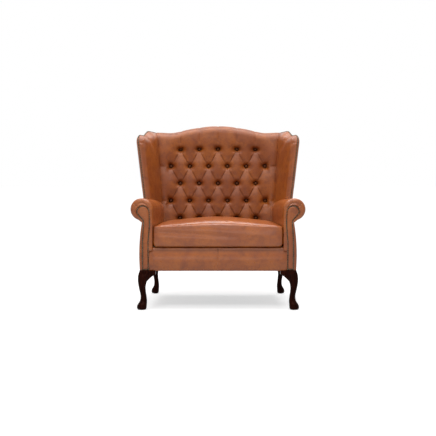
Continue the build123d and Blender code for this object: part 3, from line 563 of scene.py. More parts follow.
LEATHER = leather_finish("cognac_leather")
# The next three are darker copies of the same leather, with painted shade: the tufted back and the wings for
# the shade of their recess, the buttons for the shade of their pits.
TUFTED_LEATHER_PAINTED_SHADE = leather_finish("tufted_leather_painted_shade", tint=0.66, gloss=0.14, satin=0.34)
WING_LEATHER_PAINTED_SHADE = leather_finish("wing_leather_painted_shade", tint=0.79, gloss=0.24, satin=0.30)
BUTTON_LEATHER_PAINTED_SHADE = leather_finish("button_leather_painted_shade", tint=0.38, gloss=0.12, satin=0.4)
SEAT_LEATHER = leather_finish("seat_leather", tint=0.99, gloss=0.31)
MAHOGANY = wood_finish(
    "mahogany", (0.024, 0.0042, 0.002), (0.007, 0.0014, 0.0008), 0.04, 0.2, tint=(1.0, 0.55, 0.45)
)
BEECH = wood_finish("beech", (0.62, 0.43, 0.26), (0.48, 0.31, 0.17), 0.3, 0.6)
BRASS = brass_finish()
STEEL = metal_finish("spring_steel", (0.34, 0.34, 0.36), 0.4)
HESSIAN = cloth_finish("hessian", (0.50, 0.38, 0.22), (0.26, 0.18, 0.09), 0.0016)
BLACK_CLOTH = cloth_finish("black_cloth", (0.028, 0.028, 0.032), (0.010, 0.010, 0.012), 0.0011)
FOAM = cloth_finish("foam", (0.80, 0.74, 0.55), (0.66, 0.60, 0.42), 0.0012)
ZIP_TAPE = cloth_finish("zip_tape", (0.10, 0.045, 0.025), (0.05, 0.02, 0.012), 0.0009)
GLIDE = metal_finish("glide_nylon", (0.03, 0.03, 0.03), 0.5)
GLIDE.node_tree.nodes["Principled BSDF"].inputs["Metallic"].default_value = 0.0

BY_SLOT = {
    "leather": LEATHER, "mahogany": MAHOGANY, "beech": BEECH, "antique_brass": BRASS, "steel": STEEL,
    "hessian": HESSIAN, "black_cloth": BLACK_CLOTH, "foam": FOAM, "zip_tape": ZIP_TAPE, "glide": GLIDE,
}
for part in frame["record"]["subparts"]:
    node = frame["nodes"][part["node"]]
    for index in range(max(1, len(node.material_slots))):
        if len(node.material_slots) <= index:
            node.data.materials.append(BY_SLOT[part["material_slot"]])
        node.material_slots[index].material = BY_SLOT[part["material_slot"]]


# The tufted back
def button_places():
    """Column and height of each button: rows of five and six in turn."""
    for row, s in enumerate(ROW_S):
        first = 5 if row % 2 else 4
        for column in range(-first, first + 1, 2):
            yield column * COLUMN, s


BUTTONS = np.array(list(button_places()))
TUFT_X = 432.0
TUFT_LOW = -150.0
TUFT_HIGH = 770.0
TUFT_REST = 9.0  # how far the padding swells out between its folds
TUFT_REACH = 34.0  # how quickly it recovers beside a fold
SAG = 0.28  # each swelling hangs down by this share of its height
LIP = 6.0  # the upper side of a fold hangs over the lower one by this much
STRAIGHT_TO = 440.0  # the face is straight below this, and above it the rows spread over the top
TUFT_HOLD = 5.0  # how strongly a fold holds the skin down
PIT_REACH = 42.0  # a fold deepens over this length towards a button
BUTTON_R = 10.5


def pleats():
    """Folds as (start, end, depth at the start, depth in the middle, depth at the end)."""
    known = {(round(x / COLUMN), ROW_S.index(s)): (x, s) for x, s in BUTTONS}
    found = []
    for (column, row), start in known.items():
        for step in (-1, 1):
            end = known.get((column + step, row + 1))
            if end:
                found.append((start, end, BUTTON_DEPTH, 17.0, BUTTON_DEPTH))
        if row == 0:
            found.append((start, (start[0], TUFT_HIGH), BUTTON_DEPTH, 3.0, 2.0))
        if row == len(ROW_S) - 1:
            found.append((start, (start[0] * 1.02, TUFT_LOW), BUTTON_DEPTH, 16.0, 14.0))
        if row % 2 and abs(column) == 5:
            found.append((start, (math.copysign(TUFT_X, start[0]), start[1]), BUTTON_DEPTH, 4.0, 2.0))
    return found


def pleat_pull(x, q, width):
    """Weight and depth of the nearest fold or button at each place, and the height above that fold."""
    best = np.full(x.shape, FAR)
    depth = np.zeros(x.shape)
    above = np.full(x.shape, FAR)
    for (x0, q0), (x1, q1), first, middle, last in pleats():
        dx, dq = x1 - x0, q1 - q0
        length = math.hypot(dx, dq)
        t = np.clip(((x - x0) * dx + (q - q0) * dq) / length**2, 0, 1)
        away = np.hypot(x - x0 - t * dx, q - q0 - t * dq)
        near, far = (np.minimum(part * length, PIT_REACH) / PIT_REACH for part in (t, 1 - t))
        here = middle + (first - middle) * (1 - near) ** 2.2 + (last - middle) * (1 - far) ** 2.2
        slanting = abs(dx) > 1.0 and abs(dq) > 1.0
        side = q - q0 - t * dq if slanting else np.full(x.shape, -FAR)
        closer = away < best
        best = np.where(closer, away, best)
        depth = np.where(closer, here, depth)
        above = np.where(closer, np.sign(side) * away, above)
    pull = np.exp(-((best / width) ** 2))
    for bx, bs in BUTTONS:
        r = np.hypot(x - bx, q - bs)
        pull = np.maximum(pull, 1.5 * np.exp(-((r / BUTTON_R) ** 4)))
        depth = np.where(r < BUTTON_R + 2.0, BUTTON_DEPTH + 2.0, depth)
    return pull, depth, above


def tuft_depth(columns, rows):
    """Depth of the tufting: a swollen skin held down along its folds and at its buttons.

    The skin is relaxed on a coarse grid and then on the final one: each point takes its
    neighbours' mean, drawn a little to the swell and strongly to a fold's depth where one passes.
    """
    depth = None
    for nx, nq, rounds in ((columns // 2, rows // 2, 500), (columns, rows, 140)):
        x, q = np.meshgrid(np.linspace(-TUFT_X, TUFT_X, nx), np.linspace(TUFT_LOW, TUFT_HIGH, nq))
        step = 2 * TUFT_X / (nx - 1)
        pull, target, above = pleat_pull(x, q, max(2.2, step * 0.6))
        pull = pull * TUFT_HOLD
        rest = -TUFT_REST + (TUFT_REST + 1.0) * smooth(q, 480.0, 600.0)
        depth = np.full(x.shape, 4.0) if depth is None else enlarged(depth, nq, nx)
        spring = step**2 / (4 * TUFT_REACH**2)
        for _ in range(rounds):
            padded = np.pad(depth, 1, mode="edge")
            mean = (padded[:-2, 1:-1] + padded[2:, 1:-1] + padded[1:-1, :-2] + padded[1:-1, 2:]) / 4
            free = (mean + spring * rest) / (1 + spring)
            depth = (free + pull * target) / (1 + pull)
    height = np.abs(above)
    lip = np.where(above > 0, LIP * np.exp(-height / 7.0) * (1 - np.exp(-height / 1.6)), 0.0)
    for bx, bs in BUTTONS:
        lip = lip * smooth(np.hypot(x - bx, q - bs), 14.0, 40.0)
    return x, q, depth - lip


def top_groove(x, q):
    """Narrow bell-shaped folds of the leather over the top, in line with the upper buttons."""
    groove = np.zeros(x.shape)
    for bx, bs in BUTTONS[BUTTONS[:, 1] == ROW_S[0]]:
        groove += 2.2 * np.exp(-((np.abs(x - bx) / 3.4) ** 1.5)) * smooth(q, bs + 20, bs + 50)
    return groove


def wing_face_x(s):
    """Where the inner wing's face crosses the tufting, on the right, at a height up the back."""
    near = world_back(np.zeros_like(s) - 15.0, s, np.full_like(s, 300.0))
    face = WING_CORNER - WING_T * WING_OUT
    reach = ((face - near) @ WING_OUT) / WING_OUT[0]
    wing = near[:, 0] + reach
    arm = SEAT_HALF - SIDE_TAPER * (near[:, 1] - FRONT_Y)
    return np.where(s > 110, wing, np.minimum(arm + 25, wing + 60))


def top_path(x, share):
    """Place on the padding's upper part: straight up its face, then over the top to the rear seam."""
    height = 54.0
    top = crest_s(x) - 15.0 - 7.0 * np.exp(-(((np.abs(x) - 300.0) / 60.0) ** 2))
    rise = top - height - STRAIGHT_TO
    half = -REAR_N / 2
    turn = np.linspace(0, np.pi, 80)
    steps = np.hypot(half * np.diff(np.cos(turn)), height * np.diff(np.sin(turn)))
    at = np.concatenate([[0], np.cumsum(steps)])
    here = share * (rise + at[-1])
    angle = np.interp(np.clip(here - rise, 0, at[-1]), at, turn)
    fall = (1 - np.cos(angle)) / 2
    n = -half * (1 - np.cos(angle))
    s = STRAIGHT_TO + np.where(here < rise, here, rise + height * np.sin(angle) + 44.0 * fall**2)
    return np.where(here < rise, 0.0, n), s, np.where(here < rise, 0.0, angle)


def tufted_back():
    """Deep-buttoned inside back, carried over the crest to the seam with the outer back.

    Each tuft's depth is taken inwards from the padding's path, and its swellings sag with their height.
    """
    columns, rows = 285, 315
    x, q, depth = tuft_depth(columns, rows)
    depth = depth + top_groove(x, q)
    upper = q > STRAIGHT_TO
    share = np.clip((q - STRAIGHT_TO) / (TUFT_HIGH - STRAIGHT_TO), 0, 1)
    n_up, s_up, angle = top_path(x, share)
    n0 = np.where(upper, n_up, 0.0)
    s0 = np.where(upper, s_up, q)
    edge = wing_face_x(np.clip(s0, TUFT_LOW, 640).ravel()).reshape(s0.shape) + 16.0
    inner = 322.0
    beyond = np.maximum(np.abs(x) - inner, 0) / (TUFT_X - inner)
    spread = (np.sign(x) * (np.minimum(np.abs(x), inner) + beyond * (edge - inner))).ravel()
    depth = depth + 12.0 * np.clip(beyond * 1.3 - 0.5, 0, 1) ** 2 * (1 - smooth(q, 500, 620))
    sag = SAG * (BUTTON_DEPTH - depth) * (1 - smooth(q, 480, 540)) * smooth(q, -60, 0)
    n = (n0 - depth * np.cos(angle) + 2.5 * smooth(angle, 2.3, 3.1)).ravel()
    s = (s0 - depth * np.sin(angle) - sag).ravel()
    points = world_back(n, s, spread)
    points += (waves(points, 160.0, 3) * 0.8)[:, None] * np.array((0, -COS, SIN))
    points[:, 2] = np.maximum(points[:, 2], DECK_Z + 1.0)
    rim = rim_of(rows, columns)
    count, start = len(rim), len(points)
    rear = world_back(np.full(count, -96.0), np.clip(s[rim], -130, 520), spread[rim])
    points = np.vstack([points, rear, rear.mean(axis=0)])
    own = start + np.arange(count)
    side = np.stack([np.roll(rim, -1), rim, own, np.roll(own, -1)], axis=-1)
    faces = [grid_faces(rows, columns), side, fan_faces(start, count, start + count, flip=True)]
    # Painted shade: the deepest folds and pits get extra shade, which darkens their leather.
    shade = np.zeros(len(points))
    shade[:start] = 0.020 * np.maximum(depth.ravel() - 22.0, 0)
    # The back's leather is a darker copy, with painted shade for its recess.
    add_piece("tufted_back", points, faces, TUFTED_LEATHER_PAINTED_SHADE, ("inside_back",), fill=0.95, shade=shade)


def buttons():
    """Covered buttons: flattened domes with a puckered rim, seated at the bottom of each pit.

    Each ring's radius falls with a power of a cosine while its height rises with one of a sine.
    """
    rings, sides = 9, 28
    turn = np.linspace(0, 2 * np.pi, sides, endpoint=False)
    points, quads, tips = [], [], []
    for index, (bx, bs) in enumerate(BUTTONS):
        pucker = 1.0 + 0.025 * np.sin(turn * 9 + index)
        for t in np.linspace(0, 1, rings):
            r = (BUTTON_R + 0.1) * math.cos(t * math.pi / 2) ** 0.55 if t < 1 else 0.4
            lift = -4.0 + 11.0 * math.sin(t * math.pi / 2) ** 1.1
            flat = r * pucker
            points.append(world_back(
                np.full(sides, lift - BUTTON_DEPTH), bs + flat * np.sin(turn), bx + flat * np.cos(turn)
            ))
        points.append(world_back(7.0 - BUTTON_DEPTH, bs, bx)[None])
        base = index * (rings * sides + 1)
        quads.append(grid_faces(rings, sides, closed=True) + base)
        tips.append(fan_faces((rings - 1) * sides, sides, rings * sides) + base)
    faces = [np.vstack(quads), np.vstack(tips)]
    # The buttons' leather is a darker copy, with painted shade for the depth of their pits.
    add_piece("covered_buttons", np.vstack(points), faces, BUTTON_LEATHER_PAINTED_SHADE, ("back_buttons",))


# Wings
def wing_rear(h, n):
    """How far back along the wing a plane of the reclined back lies, at a height up the wing."""
    at = back_n(world_wing(np.zeros_like(h), h, np.full_like(h, -30.0)))
    step = back_n(world_wing(np.ones_like(h), h, np.full_like(h, -30.0))) - at
    return (n - at) / step


def wing_top():
    """Front edge and cyma top of a wing, as a path from the arm up and back."""
    flat, peak, nose = WING_FLAT_H, WING_PEAK_H, WING_NOSE
    a, b = WING_STEP
    t = np.linspace(0, 1, 40)
    step = np.stack([a - 8 + (b - a + 16) * t, flat + (peak - flat) * smooth(t, 0.0, 1.0)], axis=1)
    end = wing_rear(np.array([peak]), REAR_N)[0]
    return np.vstack([
        [[0, WING_FOOT_H], [0, flat - nose - 20]], arc(nose, flat - nose, nose, 180, 90), step,
        [[b + 30, peak + 1.0], [end - 60, peak - 1.0], [end - 14, peak - 4.0], [end - 2, peak - 14.0]],
    ])


def wing_outline():
    """Closed outline of a wing and how rounded its edge is at each point."""
    top = resample(wing_top(), 200)
    low_end = wing_rear(np.array([WING_FOOT_H]), REAR_N)[0]
    rear = np.linspace(top[-1] + (1, -4), (low_end, WING_FOOT_H), 40)
    foot = np.linspace((low_end - 8, WING_FOOT_H), (36, WING_FOOT_H), 30)
    rounded = np.concatenate([np.ones(len(top)), np.zeros(len(rear) + len(foot))])
    rounded[len(top) - 14: len(top)] = np.linspace(1, 0, 14)
    return np.vstack([top, rear, foot]), rounded


def wing_pad(depth_in, nose, front, reach, puff, lobes=None, crown=0.0):
    """A wing's padded side as rings from its seam round the edge and across its face to a hub.

    The padding turns round its front and top edge in a quarter ellipse, nose mm across, that holds
    the share front of its depth, and swells on to the whole depth over reach mm. Towards the top it
    domes over crown mm instead. depth_in is the way from the seam to the face, positive outwards,
    and lobes adds the soft valleys of the inner side.
    """
    outline, rounded = wing_outline()
    inward = inward_of(outline)
    low = (outline[:, 0] < 2.0) & (outline[:, 1] < -40.0)
    inward[low] = np.column_stack([np.ones(low.sum()), 0.15 * (-40.0 - outline[low, 1]) / 46.0])
    offsets = (0, 0.12, 0.5, 1.2, 2.2, 3.6, 5.4, 7.8, 10.8, 14.5, 19.0, 24.5, 31.0)
    rings = [outline + inward * (w * (0.15 + 0.85 * rounded))[:, None] for w in offsets]
    for g in (np.arange(1, 34) / 34) ** 1.15:
        rings.append(rings[len(offsets) - 1] * (1 - g) + np.array((250.0, 60.0)) * g)
    place = np.stack(rings)
    edge = resample(wing_top(), 120)
    _, away = nearest_on(place, edge, closed=False)
    away[0] *= rounded
    from_front = place[..., 0] if crown else away
    bulge = front * np.sqrt(1 - (1 - np.clip(from_front / nose, 0, 1)) ** 2)
    bulge = bulge + (1 - front) * (1 - (1 - np.clip(from_front / reach, 0, 1)) ** 1.5)
    if crown:
        _, from_top = nearest_on(place, edge[edge[:, 1] > WING_FLAT_H - WING_NOSE], closed=False)
        domed = 1 - (1 - np.clip(from_top / crown, 0, 1)) ** 2
        bulge = (np.maximum(bulge, 1e-6) ** -6.0 + np.maximum(domed, 1e-6) ** -6.0) ** (-1 / 6)
    plain_edge = np.zeros(away.shape)
    plain_edge[1:len(offsets)] = 1 - rounded
    t = np.clip(away / nose, 0, 1)
    bulge = np.maximum(bulge, plain_edge * (1 - t) + bulge * t)
    swell = puff * (1 - np.exp(-away / 40.0)) * t
    if lobes:
        swell = swell + lobes(place[..., 0], place[..., 1], away)
    w = -WING_SKIN + depth_in * bulge + math.copysign(1.0, depth_in) * swell
    fuller = 1.5 * np.exp(-((away / (0.9 * nose)) ** 2)) * rounded
    fuller[0] = 0.0
    place = place - inward * fuller[..., None]
    world = world_wing(place[..., 0], place[..., 1], w)
    rear = world_wing(outline[:, 0], outline[:, 1], np.full(len(outline), -WING_SKIN))
    return closed_rings(world, [rear.mean(axis=0), world[-1].mean(axis=0)])


def inner_lobes(b, h, away):
    """Soft valley falling from the cyma step to the face, which parts the shoulder from the rear lobe."""
    line = 128.0 + (WING_FLAT_H - h) * 0.45
    fall = smooth(h, 262.0, 345.0)
    valley = -9.0 * np.exp(-(((b - line) / 26.0) ** 2)) * fall
    rear = 3.0 * np.exp(-(((b - line - 70.0) / 40.0) ** 2)) * fall
    return (valley + rear) * smooth(away, 3, 34)


def wings():
    """Thick inner wings and thin outer ones, which meet on the nailed seam."""
    points, faces = wing_pad(WING_SKIN - WING_T, 30.0, 0.62, 190.0, 2.0, lobes=inner_lobes, crown=60.0)
    points = points + (waves(points, 130.0, 11) * 0.7)[:, None] * -WING_OUT
    # The inner wings' leather is a darker copy, with painted shade for the recess.
    add_pair("wing_padding", points, faces, WING_LEATHER_PAINTED_SHADE, "inner_wing", fill=0.9)
    points, faces = wing_pad(WING_SKIN, 15.0, 1.0, 90.0, 11.0)
    points = points + (waves(points, 150.0, 12) * 0.4)[:, None] * WING_OUT
    add_pair("wing_outside", points, faces, LEATHER, "outer_wing", fill=0.5)


# Arms
PLEAT_TURNS = (42, 94, 152, 203, -8)  # in degrees round the facing's head
PLEAT_WIDTH = 0.045  # in radians
PLEAT_DEEP = 2.6
NAIL_INSET = 5.5


def along_arm(points_xz, y):
    """Points of a front section carried back to depth y."""
    away = y - FRONT_Y
    x = points_xz[..., 0] - SIDE_TAPER * away
    z = points_xz[..., 1] - ARM_FALL * away
    return np.stack(np.broadcast_arrays(x, y, z), axis=-1)


def arm_section():
    """Section of the arm's padding: up the inner wall, round the roll and back inside."""
    cx, cz, r = ROLL
    wall = np.array([(2.0, 340.0), (0.6, 400.0), (0.5, 480.0), (0.0, 550.0)]) + (SEAT_HALF, 0.0)
    roll = arc(cx, cz, r, 176, -73, 60)
    inner = [[cx + 8, cz - 70.5], [cx - 5, cz - 80.0], [cx - 22, cz - 91.0], [cx - 34, 340.0]]
    return resample(np.vstack([wall, roll, inner]), 200, closed=True)


def outer_back_y(z):
    """Depth at which the outer back's plane lies at a height."""
    return BACK[0] + (-REAR_N + (z - BACK[1]) * SIN) / COS


def arms():
    """Scrolled arms: the roll's leather turns over the front in radial pleats, gathered behind the facing.

    One section is carried back with the taper of the side and the fall of the arm. In front it
    turns in by a quarter ellipse, then runs flat to the facing, and each pleat is a bell in angle.
    """
    section = arm_section()
    inward = inward_of(section)
    turn = np.arctan2(section[:, 1] - HEAD[1], section[:, 0] - HEAD[0])
    on_roll = smooth(section[:, 1], 500, 540)
    across, along = 8.0 + 14.0 * on_roll, 7.0 + 12.0 * on_roll
    pleat = np.zeros(len(section))
    for t in np.radians(PLEAT_TURNS):
        pleat += np.exp(-((((turn - t + np.pi) % (2 * np.pi) - np.pi) / PLEAT_WIDTH) ** 2))
    pleat = pleat * on_roll
    face_y = FRONT_Y - 4.0
    behind = 292.0
    lip = section + inward * across[:, None]
    tucked, _ = nearest_on(lip, facing_outline(4.0))
    rings = []
    for g in np.linspace(1, 0, 17)[:-1]:
        flat = lip * (1 - g) + tucked * g
        ridge = 5.5 * math.exp(-(((g - 0.72) / 0.2) ** 2)) - 1.6 * math.exp(-(((g - 0.25) / 0.2) ** 2))
        rings.append(along_arm(flat, face_y + (7.0 * g**4 - ridge) * on_roll + PLEAT_DEEP * pleat))
    for a in np.linspace(0, np.pi / 2, 16):
        y = face_y + along * (1 - math.cos(a))
        deep = PLEAT_DEEP * math.cos(a) ** 2 * pleat
        ring = along_arm(section + inward * (across * (1 - math.sin(a)) + deep * math.sin(a))[:, None], y)
        ring[:, 1] += deep * math.cos(a)
        rings.append(ring)
    for share in np.linspace(0, 1, 66)[1:]:
        here = (face_y + along) * (1 - share) + behind * share
        stop = outer_back_y(section[:, 1] - ARM_FALL * (here - FRONT_Y))
        rings.append(along_arm(section, np.minimum(here, stop)))
    end = rings[-1]
    way = end.mean(axis=0) - end
    way /= np.linalg.norm(way, axis=1, keepdims=True)
    for inset, rear in ((1.5, 1.2), (4.0, 2.2), (9.0, 2.6), (20.0, 2.8)):
        rings.append(end + way * inset + np.array((0, rear * COS, -rear * SIN)))
    points, faces = closed_rings(rings, [rings[0].mean(axis=0) + (0, 6.0, 0), rings[-1].mean(axis=0)])
    faces = outward(points - points.mean(axis=0), faces)
    points = points + normals_of(points, faces) * (waves(points, 170.0, 21) * 0.7 - 0.5)[:, None]
    add_pair("arm_padding", points, faces, LEATHER, "arm_pad", fill=0.9)


def facing_outline(inset=0.0):
    """Keyhole outline of the scrolled front: a round head drawn down aslant to a narrow neck."""
    cx, cz, r = HEAD
    left = [(400.0, BASE_Z), (400.0, 395.0), (396.0, 440.0), (391.5, 490.0), (391.0, 525.0)]
    head = arc(cx, cz, r, 176.0, -14.0, 60)
    right = [
        (457.5, 541.5), (443.5, 526.5), (438.0, 517.0), (436.0, 505.0), (437.0, 488.0), (441.0, 440.0),
        (442.5, 395.0), (442.5, BASE_Z),
    ]
    outline = resample(np.vstack([left, head, right]), 220, closed=True)
    return outline + inward_of(outline) * inset


def facings():
    """Padded keyhole facings, highest along their middle and drawn in where the nails hold them.

    With the distance from the edge, the height is a quarter circle and a smooth step, less a bell.
    """
    outline = facing_outline()
    head = HEAD[1] + HEAD[2] * np.sin(np.linspace(0.02, 1.55, 26)) - 0.3
    z = np.concatenate([np.linspace(BASE_Z + 1, HEAD[1], 120), head])
    a, b = outline, np.roll(outline, -1, axis=0)
    ends = []
    for level in z:
        hit = ((a[:, 1] - level) * (b[:, 1] - level) <= 0) & (np.abs(a[:, 1] - b[:, 1]) > 1e-6)
        cross = a[hit, 0] + (level - a[hit, 1]) * (b[hit, 0] - a[hit, 0]) / (b[hit, 1] - a[hit, 1])
        ends.append((cross.min(), cross.max()))
    left, right = np.array(ends).T[:, :, None]
    across = np.sin(np.linspace(-np.pi / 2, np.pi / 2, 33))
    x = (left + right) / 2 + (right - left) / 2 * across
    zz = np.repeat(z[:, None], len(across), axis=1)
    _, away = nearest_on(np.stack([x, zz], axis=-1), outline)
    rise = 3.4 * np.sqrt(1 - (1 - np.clip(away / 3.4, 0, 1)) ** 2) + 4.2 * smooth(away, 5.0, 21.0)
    held = np.exp(-(((away - NAIL_INSET) / 2.6) ** 2))
    y = FRONT_Y - 0.5 - rise + 1.0 * held
    front = np.stack([x - SIDE_TAPER * (y - FRONT_Y), y, zz], axis=-1)
    points, faces = two_sided(front, along_axis(front, 1, FRONT_Y + 6.0))
    # Painted shade: the leather is darkened along the nail line, where it is drawn in.
    shade = np.concatenate([held.ravel(), np.zeros(held.size)])
    add_pair("scroll_facing", points, faces, LEATHER, "arm_facing", fill=0.6, shade=shade)


def outer_arms():
    """Outer arms: a bellied panel turned round the front edge to the facing.

    The section leans in by a square and bellies by half a sine, and a quarter circle turns its edge.
    """
    z = np.concatenate([np.linspace(BASE_Z, 505.0, 60), np.linspace(509.0, 522.0, 5)])
    share = np.clip((z - BASE_Z) / (515.0 - BASE_Z), 0, 1)
    outer = 457.0 - 15.0 * share**2 + 5.0 * np.sin(np.pi * share)
    lip, front_y = 13.0, FRONT_Y - 1.0
    stations = [
        (front_y + lip * (1 - math.cos(a)), lip * (1 - math.sin(a))) for a in np.linspace(0, np.pi / 2, 10)
    ]
    stations += [(y, 0.0) for y in np.linspace(front_y + lip, 300.0, 60)[1:]]
    rings = []
    for y, inset in stations:
        zz = z - ARM_FALL * (y - FRONT_Y) * smooth(z, 300, 515)
        stop = np.minimum(y, outer_back_y(zz))
        swell = 1.6 * math.sin(math.pi * min(1.0, max(0.0, (y - FRONT_Y) / 640.0)))
        x = outer - inset + swell * np.sin(np.pi * share) - SIDE_TAPER * (stop - FRONT_Y)
        rings.append(np.stack([x, stop, zz], axis=-1))
    outside = np.stack(rings)
    inside = outside - (12.0, 0.0, 0.0)
    inside[0, :, 1] += 4.0
    outside[..., 0] += waves(outside, 180.0, 31) * 0.5
    points, faces = two_sided(outside, inside)
    add_pair("arm_outside", points, faces, LEATHER, "outer_arm", fill=0.5)


# Seat
def front_border():
    """Front border: a bulged apron with a soft upper roll and a centre seam.

    The section bulges by half a sine and is carried straight across. The seam is a narrow bell.
    """
    x = np.linspace(-400.5, 400.5, 260)
    lip = [(-379.0, 364.5), (-383.0, 363.2), (-387.0, 360.6), (-390.2, 356.8), (-392.4, 352.4)]
    face_top = 348.0
    zs = np.linspace(face_top, BASE_Z - 4.0, 44)
    t = np.clip((face_top - zs) / (face_top + 2.0 - BASE_Z), 0, 1)
    bulge = -394.0 - 4.0 * t - 14.5 * np.sin(np.pi * t) + 3.0 * smooth(t, 0.93, 1.0)
    section = np.vstack([lip, np.stack([bulge, zs], axis=1)])
    xx, yy, zz = np.broadcast_arrays(x, section[:, :1], section[:, 1:])
    on_face = smooth(zz, BASE_Z + 3, BASE_Z + 14) * (1 - smooth(zz, 352, 364))
    seam = np.exp(-((xx / 2.2) ** 2)) * 1.8 + 1.1 * np.exp(-((xx / 16.0) ** 2))
    ends = smooth(np.abs(xx), 372, 400) * 3.0
    front = np.stack([xx, yy, zz], axis=-1)
    ripple = waves(front * (0.35, 1.0, 1.0), 60.0, 41) * 0.3 + waves(front * (1.0, 1.0, 0.6), 210.0, 42) * 1.0
    front[..., 1] += (seam + ends + ripple) * on_face
    points, faces = two_sided(front, along_axis(front, 1, -379.0))
    # Painted shadow: the apron's top, under the cushion's overhang, is darkened towards the cushion.
    shade = 0.5 * smooth(points[:, 2], 315.0, 362.0)
    add_piece("front_apron", points, faces, LEATHER, ("front_border",), fill=0.7, shade=shade)


CUSHION_FRONT = -406.0
CUSHION_REAR = 100.0
CUSHION_LOW = DECK_Z + 0.6
CUSHION_START = 5.0  # the cushion starts this much smaller, before it is blown up


def cushion_plan():
    """Plan of the seat cushion: a rounded trapezium, narrower at the rear."""
    x0, x1 = (SEAT_HALF - SIDE_TAPER * (y - FRONT_Y) - 1.6 for y in (CUSHION_FRONT, CUSHION_REAR))
    r0, r1 = 20.0, 14.0
    corners = [
        arc(x0 - r0, CUSHION_FRONT + r0, r0, -90, 0, 14),
        arc(x1 - r1, CUSHION_REAR - r1, r1, 0, 90, 14),
        arc(-x1 + r1, CUSHION_REAR - r1, r1, 90, 180, 14),
        arc(-x0 + r0, CUSHION_FRONT + r0, r0, 180, 270, 14),
    ]
    return resample(np.vstack(corners), 320, closed=True)


def cushion_form():
    """The cushion before it is blown up: rings outwards below it, up its sides and over its top.

    Its foot is a quarter ellipse, and its crown multiplies a power across by one in depth.
    """
    plan = cushion_plan()
    inward = -inward_of(plan)
    centre = np.array([0.0, (CUSHION_FRONT + CUSHION_REAR) / 2])
    across = np.cos(np.clip(plan[:, 0] / SEAT_HALF, -1, 1) * np.pi / 2)
    corner = np.hypot(np.abs(plan[:, 0]) - SEAT_HALF, plan[:, 1] - CUSHION_FRONT)
    at_corner = np.exp(-((corner / 42.0) ** 2))
    edge_z = 485.0
    rings = []
    drawn = plan + inward * (14.0 + 5.0 * at_corner[:, None])
    for g in np.linspace(0, 1, 12):
        place = centre + (drawn - centre) * (0.02 + 0.98 * g**0.8)
        rings.append(np.column_stack([place, np.full(len(plan), CUSHION_LOW)]))
    up = [np.linspace(0.01, 0.10, 8), np.linspace(0.14, 0.9, 22), np.linspace(0.94, 1.0, 5)]
    for t in np.concatenate(up):
        draw = 4.5 * (1 - np.sin(np.pi * np.clip(t, 0.12, 1)) ** 0.45) if t > 0.5 else 0.0
        foot = 1 - np.minimum(1.0, t / (0.14 + 0.08 * at_corner))
        round_foot = (13.0 + 6.0 * at_corner) * (1 - np.sqrt(1 - foot**2))
        z = CUSHION_LOW + t * (edge_z + 8.0 * across**2 - CUSHION_LOW)
        rings.append(np.column_stack([plan + inward * np.maximum(draw, round_foot)[:, None], z]))
    drawn, front_z = rings[-1][:, :2], rings[-1][:, 2]
    for g in (1 - np.linspace(0, 1, 46) ** 1.4)[1:]:
        place = centre + (drawn - centre) * g
        u = np.clip(place[:, 0] / SEAT_HALF, -1, 1)
        v = np.clip((place[:, 1] - CUSHION_FRONT) / (CUSHION_REAR - CUSHION_FRONT), 0, 1)
        crown = 33.5 * (1 - u**2) ** 1.4 * (1 - np.abs(2 * v - 1) ** 3.0) ** 0.8
        z = front_z * g**2 + edge_z * (1 - g**2) + crown + 2.2 * (1 - np.exp(-(1 - g) / 0.012))
        rings.append(np.column_stack([place, z]))
    return np.stack(rings), [[*centre, CUSHION_LOW], [*centre, rings[-1][:, 2].mean()]]


def cushion():
    """Boxed seat cushion: blown up as cloth, then creased with use along its front and over its top.

    The cloth's swell is evened out and laid on the ruled form, along its normals. The creases are
    slanting sines, the dent a long bell and the belly half a sine.
    """
    rings, hubs = cushion_form()
    rows, count = rings.shape[:2]
    points, faces = closed_rings(rings, hubs)
    faces = outward(points - points.mean(axis=0), faces)
    out = normals_of(points, faces)
    shrunk = points - out * CUSHION_START
    start, move = blown_up(shrunk, faces, pitch=9.0, reach=10.0)
    move = carried(move, start, shrunk)
    swell = ((move * out).sum(axis=1) - CUSHION_START)[:rows * count].reshape(rows, count)
    for _ in range(4):
        padded = np.pad(swell, ((1, 1), (0, 0)), mode="edge")
        beside = np.roll(swell, 1, axis=1) + np.roll(swell, -1, axis=1)
        swell = (padded[:-2] + padded[2:] + beside + 2 * swell) / 6
    swell = np.concatenate([swell.ravel(), [0.0, swell[-1].mean()]])
    free = np.clip(np.maximum(out[:, 2], -0.5 * out[:, 1]), 0, 1)
    points = points + out * (np.clip(swell, -3.0, 4.0) * free)[:, None]
    x, y, z = points.T
    from_low = z - CUSHION_LOW
    on_front = smooth(-y, 385, 400) * smooth(from_low, 4, 22) * (1 - smooth(z, 470, 484))
    flow = z + 0.10 * x + 7.0 * np.sin(x / 95.0) + 4.0 * np.sin(x / 41.0 + 1.0)
    crease = np.sin(flow / 9.5) * 0.4 * smooth(waves(points * (0.4, 1, 1), 240.0, 52), -0.4, 0.7)
    dent_z = 452 - 0.06 * (x + 330)
    dent = 4.2 * np.exp(-(((z - dent_z) / 15.0) ** 2)) * smooth(-x, -200, 60)
    belly = 5.0 * np.sin(np.pi * np.clip(from_low / 118.0, 0, 1)) * (1 - smooth(np.abs(x), 330, 375))
    points[:, 1] += on_front * (crease + dent - belly + waves(points, 150.0, 51) * 1.2)
    points[:, 2] += smooth(z, 492, 508) * waves(points, 260.0, 53) * 1.6
    body = "seat_cushion"
    add_piece("seat_cushion_leather", points, faces, SEAT_LEATHER, ("cushion_cover",), body=body, fill=0.85)


